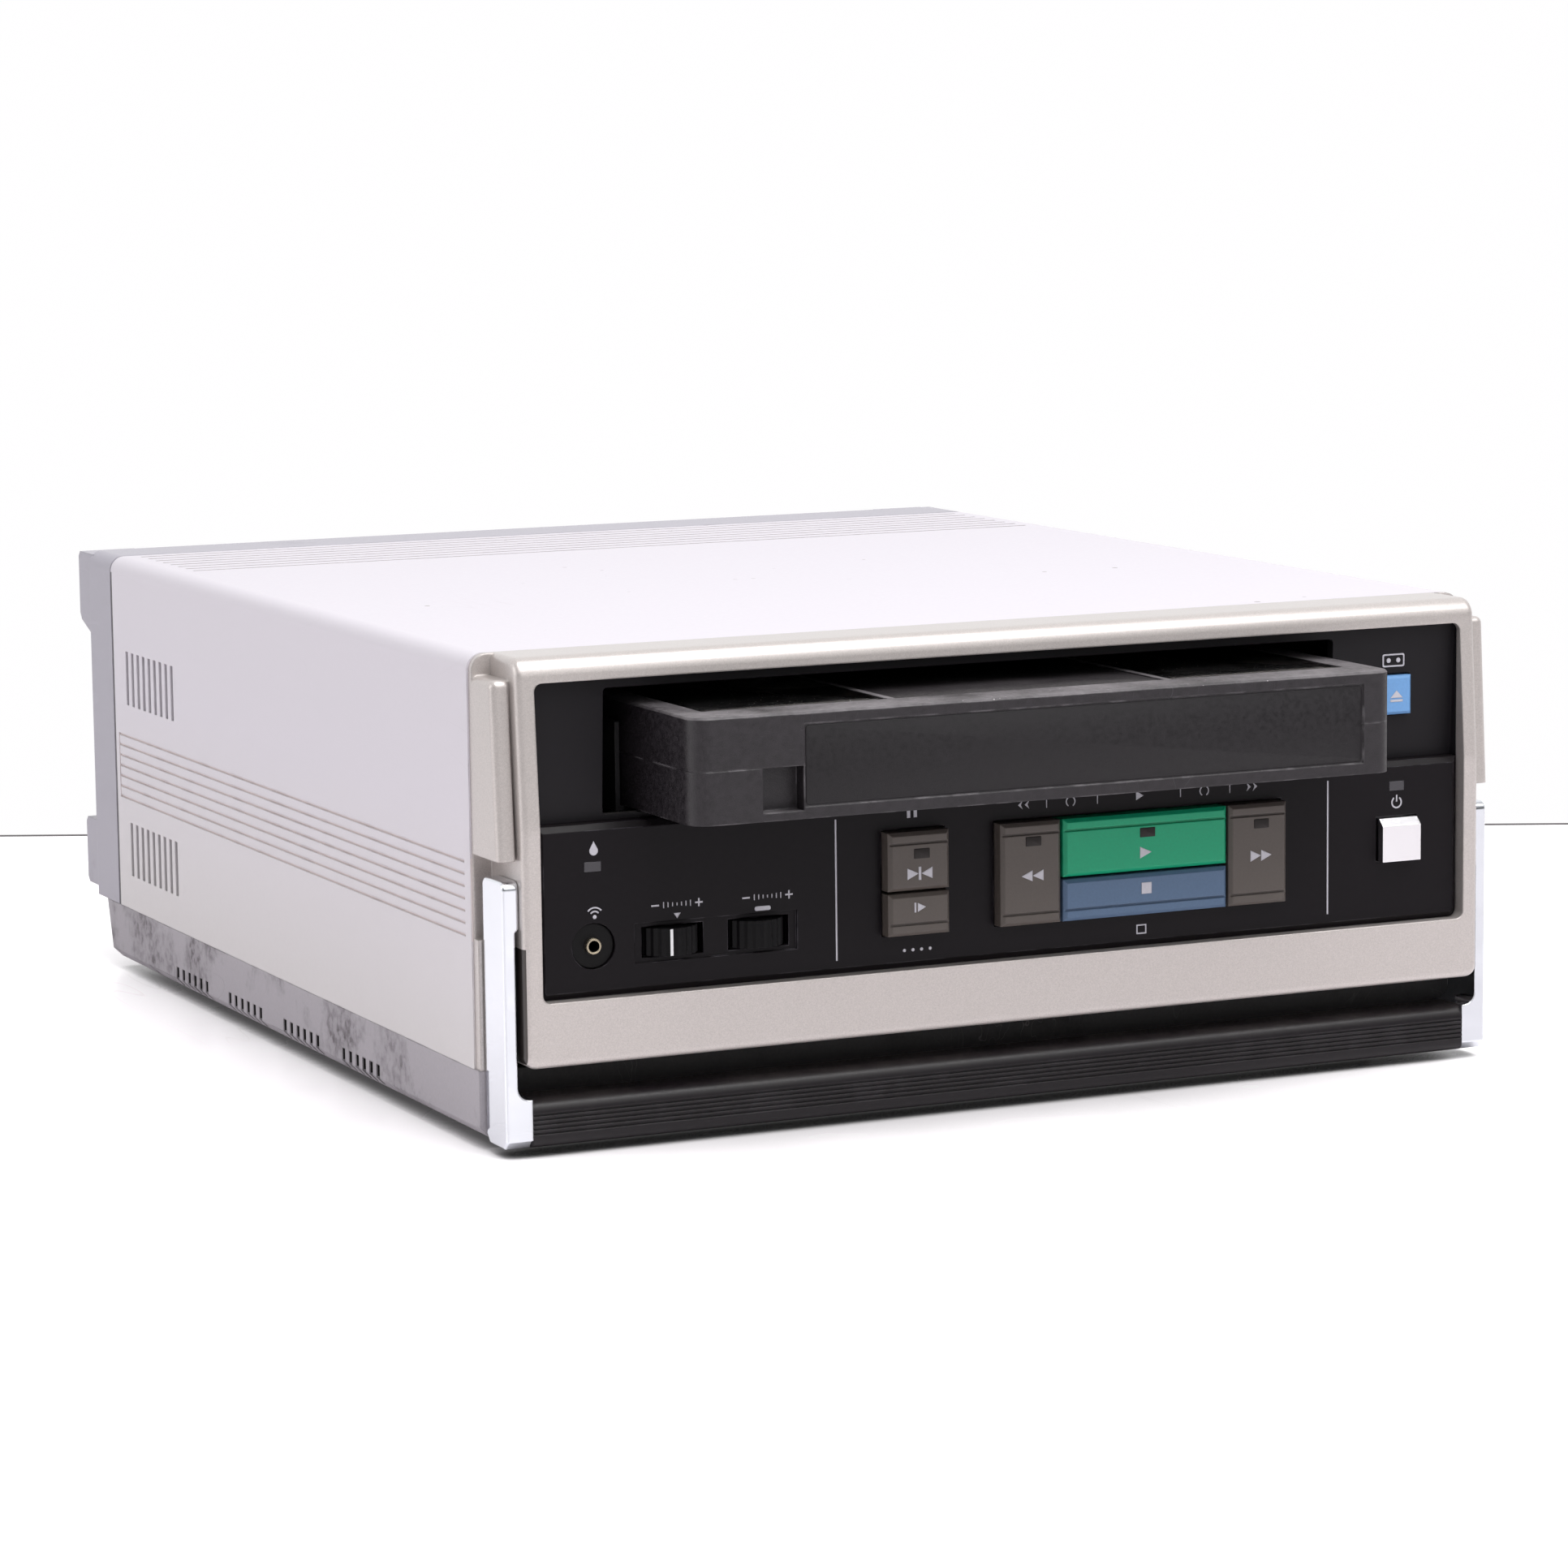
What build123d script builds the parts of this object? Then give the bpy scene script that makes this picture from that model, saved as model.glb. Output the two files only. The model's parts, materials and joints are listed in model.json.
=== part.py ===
from build123d import *
import math
import os

# Front-loading VHS cassette recorder with a carrying handle, half way through taking a cassette.
# Millimetres. X to the right, Y from the front to the back, Z up, the feet stand on Z = 0.
# The origin is the middle of the four feet. "Depth" is measured back from the bezel's front plane.

os.makedirs("parts", exist_ok=True)

# housing
body_w = 270.0           # width over the cover
foot_h = 3.0
base_h = 16.0
cover_h = 98.5
bezel_d = 20.0
cover_d = 272.0
sheet_bend = 0.8
seam_gap = 0.8           # shadow line between the cover and the rear frame
frame_d = 21.5
post_d = 10.7
wall = 2.2               # moulded walls
corner_r = 4.0           # long rounded top edges
overlap = 1.0            # how far a cut runs past what it cuts

# ventilation and trim of the cover and base
vent_w = 2.2
vent_h = 15.0
vent_pitch = 4.92
vent_count = 9
vent_row_z = (84.5, 36.2)
vent_inset = 32.2        # middle of the vents from the cover's rear edge
trim_groove_w = 0.6
trim_groove_depth = 0.5
trim_groove_pitch = 2.93
trim_groove_count = 7
trim_groove_mid_z = 59.3
trim_groove_inset = 3.8          # from the cover's front edge
top_groove_w = 1.2
top_groove_pitch = 6.5
top_groove_count = 8
top_groove_inset = 5.0           # last groove from the cover's rear edge
top_groove_margin = 7.5          # each end of a top groove from the side
base_edge = 2.4
base_vent_h = 5.7
base_vent_count = 6
base_vent_pitch = 4.94
base_vent_group_pitch = 43.9
base_vent_groups = 4
base_vent_first_d = 97.6         # middle of the front group
base_front_gap = 1.0             # between the folded handle and the base's front
base_tail = 11.0                 # how far the base reaches under the rear frame
base_rake = 5.0                  # how far its rear wall slopes in at the bottom
peg_half = 2.5
foot_w = 18.0
foot_chamfer = 0.8
foot_inset = 30.0                # feet from the sides
foot_front_d = 35.0
foot_spare_d = 42.0              # the feet's pitch from front to back is this much under the cover

# rear frame
frame_rim = 8.0
rear_edge = 2.0
spigot_l = 7.0
panel_rebate_half = 129.5
panel_rebate_low = 5.5
rear_panel_set = 4.0             # rear panel behind the frame's front edge
ear_w = 9.0
post_w = 16.0
post_h = 19.0
post_taper = 4.0
post_lift = 2.0                  # lower posts above the seam
post_root = 3.0
post_inset = 1.0                 # upper and outer faces of the posts inside the frame's outline
post_edge = 1.4

# bezel
cheek_w = 5.2                    # side cheeks beyond the protruding front frame
shoulder_d = 3.2                 # step between the front frame and the cheeks
cheek_inset = 0.4
rib_r = 1.8                      # rounding of the cheeks' upright ribs
rib_gap = 0.6
rib_low = 5.1                    # top of the ribs under the housing's top
pocket_wall = 2.0
bezel_lift = 2.5                 # the bezel's lower edge above the base
bezel_shell = 4.0
bezel_floor = 3.0
bezel_roof = 3.0
bezel_top_r = 4.5
bezel_corner_r = 3.0
bezel_edge_r = 1.8
cheek_z = 70.4                   # lower end of the cheeks above the arms
boss_recess_z = 50.2
boss_recess_back = 19.3
face_lean = 2.8                  # the front leans back this much above the step
step_z = 77.8                    # top of the control panel
window_side = 4.5                # front frame beside the window
window_z = (36.9, 111.6)
window_r = 2.0

# front panels
panel_clear = 0.2
panel_set_d = 2.5                # control panel behind the front plane
panel_t = 3.0
panel_bevel = 1.4
panel_rim = 1.7                  # hidden rim behind the window's edge
panel_lip = 2.0
slot_corner_r = 1.0
upper_set_d = 7.2                # foot of the upper panel
upper_lean = 2.0
upper_t = 2.5
slot_share = 0.347               # of the room beside the slot, the part at its left
slot_w = 197.0
slot_top = 109.2

# cassette, a standard VHS shell
cassette_w = 187.0
cassette_l = 103.0
cassette_t = 25.0
cassette_out = 25.0              # how far it stands out of the front plane
cassette_clear = 0.8             # beside the slot's right edge
slot_below = 0.4                 # gap under the cassette
cassette_z = 79.6
cassette_corner_r = 5.0
cassette_wall = 1.8
reel_pitch = 92.0
reel_hub_r = 13.0
reel_flange_r = 40.8
reel_from_spine = 54.0
reel_hole_r = 14.5
cassette_edge = 0.5
flap_t = 6.0
flange_t = 1.2
round_sides = 20                 # sides of hidden round pieces: reels, tables, motor, cans
tape_w = 12.7
full_pack_r = 38.0
thin_pack_r = 22.0
label_from_left = 28.2
label_w = 150.0
label_h = 19.4
label_depth = 0.4
tab_from_left = 17.5
tab_w = 10.4
tab_depth = 4.0
tab_low = 2.0
window_from_spine = 12.0
reel_window_l = 60.0
reel_window_w = 48.0
top_label_w = 72.0
window_gap = 2.0

# keys
key_top = 70.5
key_bottom = 45.4
key_split = 56.3
key_gap = 0.7
key_w = 16.3
wide_key_w = 45.4
key_block_x = -6.1
frame_key_x = -36.3
key_clear = 0.35
key_front = -1.3                 # face of the keys, in front of the front plane
key_bevel = 0.9
key_flange = 1.2
key_travel = 1.5
key_groove = 0.6
key_groove_inset = 2.8
stem_w = 4.0
stem_spare = 1.0                 # left behind a stem when its key is pushed home
power_bevel = 1.8
eject_bevel = 0.7
power_w = 11.0
power_h = 10.8
power_inset = 18.3               # power key from the window's right edge
power_z = 58.3
power_front = -0.3
eject_w = 9.4
eject_h = 9.8
eject_z = 94.2
eject_front = 4.2
board_d = 13.5                   # front of the switch board
board_t = 1.6
board_side = 4.3                 # board's right end inside the window's edge
board_over = 11.7                # board beyond the still key
board_low = 42.0
board_high = 74.0
board_tower_w = 20.0
board_post_z = (58.0, 50.0)

# thumb wheels, remote socket, lamps
wheel_r = 7.6
wheel_t = 6.6
wheel_inset = (34.3, 56.5)       # wheels from the window's left edge
wheel_z = 48.8
wheel_window_w = 15.8
wheel_window_h = 7.4
wheel_front = -0.3               # the wheels' rims, in front of the front plane
wheel_shaft_r = 2.5
wheel_flutes = 24
wheel_flute = 0.4
wheel_lift = 0.2                 # over its control
wheel_control_w = 13.0
wheel_control_h = 7.0
running_fit = 0.05
wheel_recess_w = 42.0
wheel_recess_h = 9.4
wheel_recess_depth = 0.7
jack_inset = 13.9                # jack and dew lamp from the window's left edge
jack_z = 49.1
jack_face_r = 5.3
jack_ring_r = 2.0
jack_ring_sides = 16
jack_bore_r = 1.3
jack_len = 12.0
jack_set = 0.7                   # the jack's face behind the panel's
jack_ring_proud = 1.0
jack_body_r = 6.5
lamp_w = 4.2
lamp_h = 2.3
dew_lamp_z = 67.9
power_lamp_z = 71.6
lamp_proud = 0.2

# carrying handle
arm_t = 2.9
arm_w = 12.8
arm_out = 1.2                    # arm's outer face inside the body's side
arm_front = 3.1
arm_bottom = 2.3
arm_top = 65.7
arm_foot_h = 11.6
arm_foot_len = 6.6
arm_foot_r = 3.2
arm_corner_r = 2.0
arm_edge = 0.4
boss_h = 12.0
boss_t = 0.9
pivot_z = 59.9
pivot_r = 2.5
pivot_tail = 2.8                 # of the pivot pin, inside the bezel
grip_groove_w = 0.5
grip_groove_depth = 0.5
grip_groove_pitch = 1.1
grip_groove_count = 5
grip_groove_z = 7.9
grip_top_r = 3.5
grip_low_r = 2.0

# slot door
door_hinge = (13.5, 111.0)       # depth and height of the hinge's lower side
door_t = 1.4
door_len = 26.0
door_clear = 1.0
door_rest_gap = 0.3
door_pin_r = 1.0
door_pin_len = 2.5
door_room = 5.0                  # the holder's sides are lower under the door

# tape deck inside
chassis_z = 40.0
chassis_t = 2.5
chassis_lip_gap = 4.9992          # from the nearer bracket's foot to the chassis's lip
pillar_inset = (4.0, 10.0)       # pillars from the chassis's sides and ends
chassis_front = 26.0
chassis_back = 212.0
chassis_lip_h = 6.0
bracket_t = 2.0
bracket_foot_w = 9.0
bracket_d = (46.0, 118.0)
bracket_slope = 10.0
holder_t = 1.2
holder_front = 16.0
holder_back = 126.0
holder_clear = 0.1
holder_lip_w = 10.0
holder_apron = 22.0
holder_cut_half = 74.0
lip_front = 46.0
drum_r = 31.0
drum_facets = 32
drum_x = -4.0
drum_d = 168.0
drum_tilt = 5.5
lower_drum_h = 22.0
upper_drum_h = 16.0
drum_gap = 0.4
drum_shaft_r = 2.0
drum_shaft_len = 16.0
drum_lift = 6.0
drum_pedestal_half = 16.0
guide_places = ((-66.0, 132.0), (-44.0, 150.0), (44.0, 153.0), (60.0, 152.0), (-84.0, 128.0))
guide_r = 2.2
guide_h = 26.0
guide_sides = 8                 # sides of guides, shafts and pins
guide_base_r = 4.0
guide_cap_h = 2.5
erase_inset = 16.0               # erase head from the chassis's left side
erase_d = 134.0
sound_from_drum = (32.0, -34.0)  # the sound head from the drum's axis
head_w = 11.0
head_depth = 8.0
head_h = 22.0
head_nose_r = 2.5
spindle_r = 4.5
spindle_h = 20.0
reel_table_r = 17.0
spindle_shaft_r = 1.5
spindle_lift = 2.0
spindle_roof = 1.2
reel_table_t = 4.0
spline_r = 1.0
spindle_d = 70.0
capstan_r = 1.5
capstan_from_sound = (18.0, -6.0)
capstan_top = 76.0
flywheel_r = 24.0
flywheel_t = 5.0
capstan_tube_r = 4.5
capstan_tube_low = 4.0
capstan_tube_h = 10.0
pinch_r = 7.5
pinch_h = 14.0
pivot_from_capstan = (24.0, 10.0)
pinch_arm_len = 18.0
pinch_angle = 171.6
pinch_pin_r = 1.5
motor_r = 10.0
motor_len = 26.0
motor_inset = 20.0
motor_d = 190.0

# boards, supply and sockets
pcb_t = 1.6
pcb_z = 14.0
post_half = 4.5
board_margin = (15.0, 7.0)       # main board inside the chassis's sides and ends
stud_inset = 6.0
chip_pitch = 44.0
chip_l = 26.0
chip_w = 9.0
chip_h = 4.0
power_board_gap = 26.0           # beside the transformer
bay_gap = 2.0                    # boards and transformer in front of the rear frame
smoothing_inset = (32.0, 14.0)
smoothing_from_front = 21.0
smoothing_r = 8.0
smoothing_h = 26.0
sink_inset = 11.0
sink_w = 56.0
sink_from_back = 26.0
sink_h = 40.0
fin_depth = 12.0
fin_t = 1.6
fin_count = 7
transformer_inset = 65.0
core_d = 28.0
core_h = 34.0
coil_d = 46.0
coil_w = 34.0
coil_h = 22.0
socket_z = 74.0
coax_x = (-34.0, -10.0)
coax_r = 4.75
phono_x = (32.0, 52.0)
phono_r = 4.15
phono_bore_r = 1.65
coax_wall = 0.8
socket_rim = 1.6
socket_len = 9.0
bore_sides = 12                  # blind holes that nothing turns in
inlet_inset = 37.0
inlet_z = 50.0
inlet_w = 22.0
inlet_h = 14.0
inlet_depth = 14.0
inlet_lobe = 0.3                 # cut corners of the recess, as a part of its height
inlet_recess_w = 16.6
inlet_recess_h = 8.6
inlet_pin_pitch = 8.0
inlet_pin_w = 2.2
rear_panel_t = 1.2
rf_margin = 11.0
rf_len = 34.0
rf_h = 24.0
lamination_w = 52.0

# worked-out places
half_w = body_w / 2
seam_z = foot_h + base_h
top_z = seam_z + cover_h
cover_back = bezel_d + cover_d
frame_front = cover_back + seam_gap
frame_back = frame_front + frame_d
total_d = frame_back + post_d
bezel_z = seam_z + bezel_lift
stem_back = board_d - key_travel - stem_spare
foot_pitch_x = body_w - 2 * foot_inset
foot_pitch_y = cover_d - foot_spare_d
front_y = -(foot_front_d + foot_pitch_y / 2)
vent_mid_d = cover_back - vent_inset
frame_half_w = half_w - cheek_w
window_half_w = frame_half_w - window_side
arm_outer = half_w - arm_out
arm_inner = arm_outer - arm_t
arm_back = arm_front + arm_w
pivot_d = arm_front + arm_w / 2
base_front = arm_back + base_front_gap
grip_half = arm_outer - arm_foot_len
slot_left = slot_share * (2 * window_half_w - slot_w) - window_half_w
slot_right = slot_left + slot_w
cassette_x1 = slot_right - cassette_clear
cassette_x0 = cassette_x1 - cassette_w
cassette_mid = (cassette_x0 + cassette_x1) / 2
cassette_back = cassette_l - cassette_out
slot_bottom = cassette_z - slot_below
cassette_top = cassette_z + cassette_t
cassette_seam = cassette_z + cassette_t / 2
panel_half = window_half_w + panel_rim
bezel_inner_top = top_z - bezel_roof
rib_top = top_z - rib_low
reel_d = reel_from_spine - cassette_out
power_x = window_half_w - power_inset
eject_x = (slot_right + window_half_w) / 2
wheel_x = (wheel_inset[0] - window_half_w, wheel_inset[1] - window_half_w)
jack_x = jack_inset - window_half_w
lamps = ((jack_x, dew_lamp_z), (power_x, power_lamp_z))
key_block_right = key_block_x + 2 * (key_w + key_gap) + wide_key_w
board_left = frame_key_x - board_over
board_right = window_half_w - board_side
board_post_x = (board_left + 2 * peg_half, frame_key_x + key_w + 3 * peg_half,
                (key_block_right + power_x) / 2, board_right - peg_half)
bracket_foot_x = cassette_x0 - cassette_clear - holder_t - bracket_foot_w
chassis_half_w = chassis_lip_gap + chassis_t - bracket_foot_x
pillar_x = chassis_half_w - pillar_inset[0]
pillar_d = (chassis_front + pillar_inset[1], chassis_back - pillar_inset[1])
board_half_w = chassis_half_w - board_margin[0]
main_board_d = (chassis_front + board_margin[1], chassis_back - board_margin[1])
bay_back = cover_back - spigot_l - bay_gap
transformer_x = half_w - transformer_inset
transformer_d = bay_back - coil_d / 2
power_board_x = (-board_half_w, transformer_x - lamination_w / 2 - power_board_gap)
power_board_d = (chassis_back + board_margin[1], bay_back)
smoothing_x = (power_board_x[1] - smoothing_inset[0], power_board_x[1] - smoothing_inset[1])
smoothing_d = power_board_d[0] + smoothing_from_front
sink_x = (power_board_x[0] + sink_inset, power_board_x[0] + sink_inset + sink_w)
sink_d = power_board_d[1] - sink_from_back
erase_x = erase_inset - chassis_half_w
sound_x = drum_x + sound_from_drum[0]
sound_d = drum_d + sound_from_drum[1]
capstan_x = sound_x + capstan_from_sound[0]
capstan_d = sound_d + capstan_from_sound[1]
pinch_pivot = (capstan_x + pivot_from_capstan[0], capstan_d + pivot_from_capstan[1])
motor_x = motor_inset - chassis_half_w
inlet_x = half_w - inlet_inset
ear_z = (seam_z + frame_rim + ear_w / 2, top_z - frame_rim - ear_w / 2)
rear_panel_d = frame_front + rear_panel_set


# places for sketches and simple stock
def across(d):
    # plane facing the front at depth d, X to the right and Z up
    return Plane(origin=(0, front_y + d, 0), x_dir=(1, 0, 0), z_dir=(0, -1, 0))


def along(x):
    # plane facing right at x, depth across it and Z up
    return Plane(origin=(x, front_y, 0), x_dir=(0, 1, 0), z_dir=(1, 0, 0))


def level(z):
    # plane facing up at height z, X and depth in it
    return Plane(origin=(0, front_y, z), x_dir=(1, 0, 0), z_dir=(0, 0, 1))


def stock(x, d, z, mode=Mode.ADD):
    # plain block between pairs of x, depth and height
    with Locations(((x[0] + x[1]) / 2, front_y + (d[0] + d[1]) / 2, (z[0] + z[1]) / 2)):
        Box(x[1] - x[0], d[1] - d[0], z[1] - z[0], mode=mode)


def post(x, d, z, half, mode=Mode.ADD):
    # upright square post between two heights
    stock((x - half, x + half), (d - half, d + half), z, mode)


def turned(x, d, z, r, mode=Mode.ADD):
    # upright cylinder from z[0] to z[1]
    with Locations((x, front_y + d, (z[0] + z[1]) / 2)):
        Cylinder(r, z[1] - z[0], mode=mode)


# housing
with BuildPart() as top_cover:
    with BuildSketch(across(bezel_d)):
        with Locations((0, (seam_z + top_z) / 2)):
            Rectangle(body_w, cover_h)
        fillet(vertices().group_by(Axis.Y)[-1], corner_r)
        with Locations((0, (seam_z + top_z - wall) / 2)):
            Rectangle(body_w - 2 * wall, cover_h - wall, mode=Mode.SUBTRACT)
    extrude(amount=-cover_d)
    for side in (-1, 1):
        with BuildSketch(along(side * half_w)):
            for row in vent_row_z:
                with Locations((vent_mid_d, row)):
                    with GridLocations(vent_pitch, 0, vent_count, 1):
                        Rectangle(vent_w, vent_h)
        extrude(amount=-side * wall * 1.5, mode=Mode.SUBTRACT)
        groove_len = cover_d - 2 * trim_groove_inset
        groove_mid = bezel_d + cover_d / 2
        with BuildSketch(along(side * half_w)):
            with Locations((groove_mid, trim_groove_mid_z)):
                with GridLocations(0, trim_groove_pitch, 1, trim_groove_count):
                    Rectangle(groove_len, trim_groove_w)
            with Locations((groove_mid + groove_len / 2, trim_groove_mid_z)):
                Rectangle(trim_groove_w, (trim_groove_count - 1) * trim_groove_pitch + trim_groove_w)
        extrude(amount=-side * trim_groove_depth, mode=Mode.SUBTRACT)
    groove_band = (top_groove_count - 1) * top_groove_pitch
    with BuildSketch(level(top_z)):
        with Locations((0, cover_back - top_groove_inset - groove_band / 2)):
            with GridLocations(0, top_groove_pitch, 1, top_groove_count):
                Rectangle(body_w - 2 * top_groove_margin, top_groove_w)
    extrude(amount=-trim_groove_depth, mode=Mode.SUBTRACT)
top_cover.part.label = "top_cover"
export_step(top_cover.part, "parts/top_cover.step")

with BuildPart() as base_pan:
    base_back = frame_front + base_tail
    with BuildSketch(along(-half_w)):
        with BuildLine():
            Polyline((base_front, seam_z), (base_front, foot_h), (base_back - base_rake, foot_h),
                     (base_back, seam_z), close=True)
        make_face()
    extrude(amount=body_w)
    chamfer(edges().filter_by(Axis.Y).group_by(Axis.Z)[0], base_edge)
    stock((-half_w + wall, half_w - wall), (base_front + wall, base_back - base_rake - wall),
          (foot_h + wall, seam_z), Mode.SUBTRACT)
    group_last = base_vent_first_d + (base_vent_groups - 1) * base_vent_group_pitch
    for side in (-1, 1):
        with BuildSketch(along(side * half_w)):
            with Locations(((base_vent_first_d + group_last) / 2, foot_h + base_vent_h / 2)):
                with GridLocations(base_vent_group_pitch, 0, base_vent_groups, 1):
                    with GridLocations(base_vent_pitch, 0, base_vent_count, 1):
                        Rectangle(vent_w, base_vent_h)
        extrude(amount=-side * wall, mode=Mode.SUBTRACT)
    # pillars with pegs that locate the deck chassis, and studs under the two boards
    for x in (-pillar_x, pillar_x):
        for d in pillar_d:
            post(x, d, (foot_h, chassis_z), post_half)
            post(x, d, (chassis_z, chassis_z + chassis_t), peg_half)
    for board_x, board_y in (((-board_half_w, board_half_w), main_board_d), (power_board_x, power_board_d)):
        for x in (board_x[0] + stud_inset, board_x[1] - stud_inset):
            for d in (board_y[0] + stud_inset, board_y[1] - stud_inset):
                post(x, d, (foot_h + wall, pcb_z), peg_half)
base_pan.part.label = "base_pan"
export_step(base_pan.part, "parts/base_pan.step")

with BuildPart() as rubber_feet:
    with BuildSketch(level(0)):
        with Locations((0, -front_y)):
            with GridLocations(foot_pitch_x, foot_pitch_y, 2, 2):
                Rectangle(foot_w, foot_w)
    extrude(amount=foot_h)
    chamfer(edges().group_by(Axis.Z)[0], foot_chamfer)
rubber_feet.part.label = "rubber_feet"
export_step(rubber_feet.part, "parts/rubber_feet.step")

with BuildPart() as rear_frame:
    frame_mid_z = (seam_z + top_z) / 2
    with BuildSketch(across(frame_front)):
        with Locations((0, frame_mid_z)):
            Rectangle(body_w, cover_h)
        fillet(vertices().group_by(Axis.Y)[-1], corner_r)
        with Locations((0, frame_mid_z)):
            Rectangle(body_w - 2 * frame_rim, cover_h - 2 * frame_rim, mode=Mode.SUBTRACT)
    extrude(amount=-frame_d)
    chamfer(edges().group_by(Axis.Y)[-1].filter_by(lambda e: abs(e.center().X) > half_w - frame_rim / 2
            or abs(e.center().Z - frame_mid_z) > (cover_h - frame_rim) / 2), rear_edge)
    # spigot that the cover slips over
    with BuildSketch(across(cover_back - spigot_l)):
        with Locations((0, (seam_z + top_z - wall) / 2)):
            Rectangle(body_w - 2 * wall, cover_h - wall)
        with Locations((0, frame_mid_z)):
            Rectangle(body_w - 2 * frame_rim, cover_h - 2 * frame_rim, mode=Mode.SUBTRACT)
    extrude(amount=-(spigot_l + seam_gap))
    # rebate that the rear panel is screwed into
    stock((-panel_rebate_half, panel_rebate_half), (frame_front, frame_front + rear_panel_set),
          (seam_z + panel_rebate_low, top_z - panel_rebate_low), Mode.SUBTRACT)
    stock((-panel_rebate_half, panel_rebate_half), (cover_back - spigot_l, frame_front),
          (seam_z + panel_rebate_low, top_z - panel_rebate_low), Mode.SUBTRACT)
    # ears that the rear panel is screwed to
    for x in (-1, 1):
        for z in ear_z:
            stock(sorted((x * (half_w - frame_rim), x * (half_w - frame_rim - ear_w))),
                  (frame_front + rear_panel_set, frame_front + 2 * rear_panel_set),
                  (z - ear_w / 2, z + ear_w / 2))
    # four stand-off posts on the rear corners, tapered towards the frame
    for x in (-1, 1):
        for low in (True, False):
            z0 = seam_z + post_lift if low else top_z - post_inset - post_h
            z1 = z0 + post_h
            root_z = z0 if low else z0 - post_taper
            with BuildSketch(along(x * (half_w - post_inset))):
                with BuildLine():
                    Polyline((frame_back - post_root, root_z), (frame_back, root_z),
                             (total_d, z0), (total_d, z1), (frame_back - post_root, z1), close=True)
                make_face()
                chamfer(vertices().group_by(Axis.X)[-1], post_edge)
            extrude(amount=-x * post_w)
rear_frame.part.label = "rear_frame"
export_step(rear_frame.part, "parts/rear_frame.step")

# bezel and front panels
with BuildPart() as front_bezel:
    # protruding front frame, leaning back above the step, edges rounded
    with BuildSketch(along(-frame_half_w)):
        with BuildLine():
            Polyline((bezel_d, bezel_z), (0, bezel_z), (0, step_z), (face_lean, top_z),
                     (bezel_d, top_z), close=True)
        make_face()
        fillet(vertices().sort_by_distance((face_lean, top_z))[0], bezel_top_r)
    extrude(amount=2 * frame_half_w)
    fillet(edges().filter_by(Axis.Y).group_by(Axis.Z)[0], bezel_corner_r)
    fillet(edges().filter_by(lambda e: e.center().Y < front_y + shoulder_d + overlap
           and (abs(e.center().X) > overlap or e.center().Z < bezel_z + overlap)), bezel_edge_r)
    for side in (-1, 1):
        cheek_x = sorted((side * (frame_half_w - overlap), side * (half_w - cheek_inset)))
        # cheek above the arm's boss: a rounded rib that carries on the arm's line, with a
        # pocket behind its top, in front of a thin wall that meets the cover
        with BuildSketch(along(side * (frame_half_w - overlap))):
            with BuildLine():
                Polyline((shoulder_d, cheek_z), (shoulder_d + face_lean, rib_top),
                         (bezel_d - pocket_wall, rib_top), (bezel_d - pocket_wall, top_z),
                         (bezel_d, top_z), (bezel_d, cheek_z), close=True)
            make_face()
            fillet(vertices().sort_by_distance((shoulder_d + face_lean, rib_top))[0], rib_r)
        extrude(amount=side * (cheek_w + overlap - cheek_inset))
        cheek_edges = edges().filter_by(lambda e: side * e.center().X > half_w - cheek_inset - 0.01)
        fillet(cheek_edges.filter_by(Axis.Y).group_by(Axis.Z)[-1], corner_r)
        cheek_edges = edges().filter_by(lambda e: side * e.center().X > half_w - cheek_inset - 0.01)
        fillet(cheek_edges.filter_by(lambda e: e.center().Y < front_y + shoulder_d + face_lean
               and e.center().Z > cheek_z + overlap), rib_r)
        # shadow line between the rib and the front frame
        stock(sorted((side * frame_half_w, side * (frame_half_w + rib_gap))),
              (shoulder_d, shoulder_d + face_lean + rib_gap), (cheek_z, rib_top), Mode.SUBTRACT)
        # beside the arm: a slot for its boss, then one for the arm
        stock(cheek_x, (boss_recess_back, bezel_d), (boss_recess_z, cheek_z))
        stock(cheek_x, (base_front, bezel_d), (seam_z, boss_recess_z))
    stock((-panel_half, panel_half), (bezel_shell, bezel_d), (bezel_z + bezel_floor, bezel_inner_top),
          Mode.SUBTRACT)
    with BuildSketch(across(-overlap)):
        with Locations((0, (window_z[0] + window_z[1]) / 2)):
            RectangleRounded(2 * window_half_w, window_z[1] - window_z[0], window_r)
    extrude(amount=-(bezel_shell + 2 * overlap), mode=Mode.SUBTRACT)
    # bores for the handle's pivot pins
    for side in (-1, 1):
        with BuildSketch(along(side * half_w)):
            with Locations((pivot_d, pivot_z)):
                Circle(pivot_r + running_fit)
        extrude(amount=-side * (half_w - panel_half + overlap), mode=Mode.SUBTRACT)
front_bezel.part.label = "front_bezel"
export_step(front_bezel.part, "parts/front_bezel.step")


def upper_face(z):
    # depth of the leaning upper panel's front at height z
    return upper_set_d - upper_lean * (z - step_z) / (bezel_inner_top - step_z)


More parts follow.
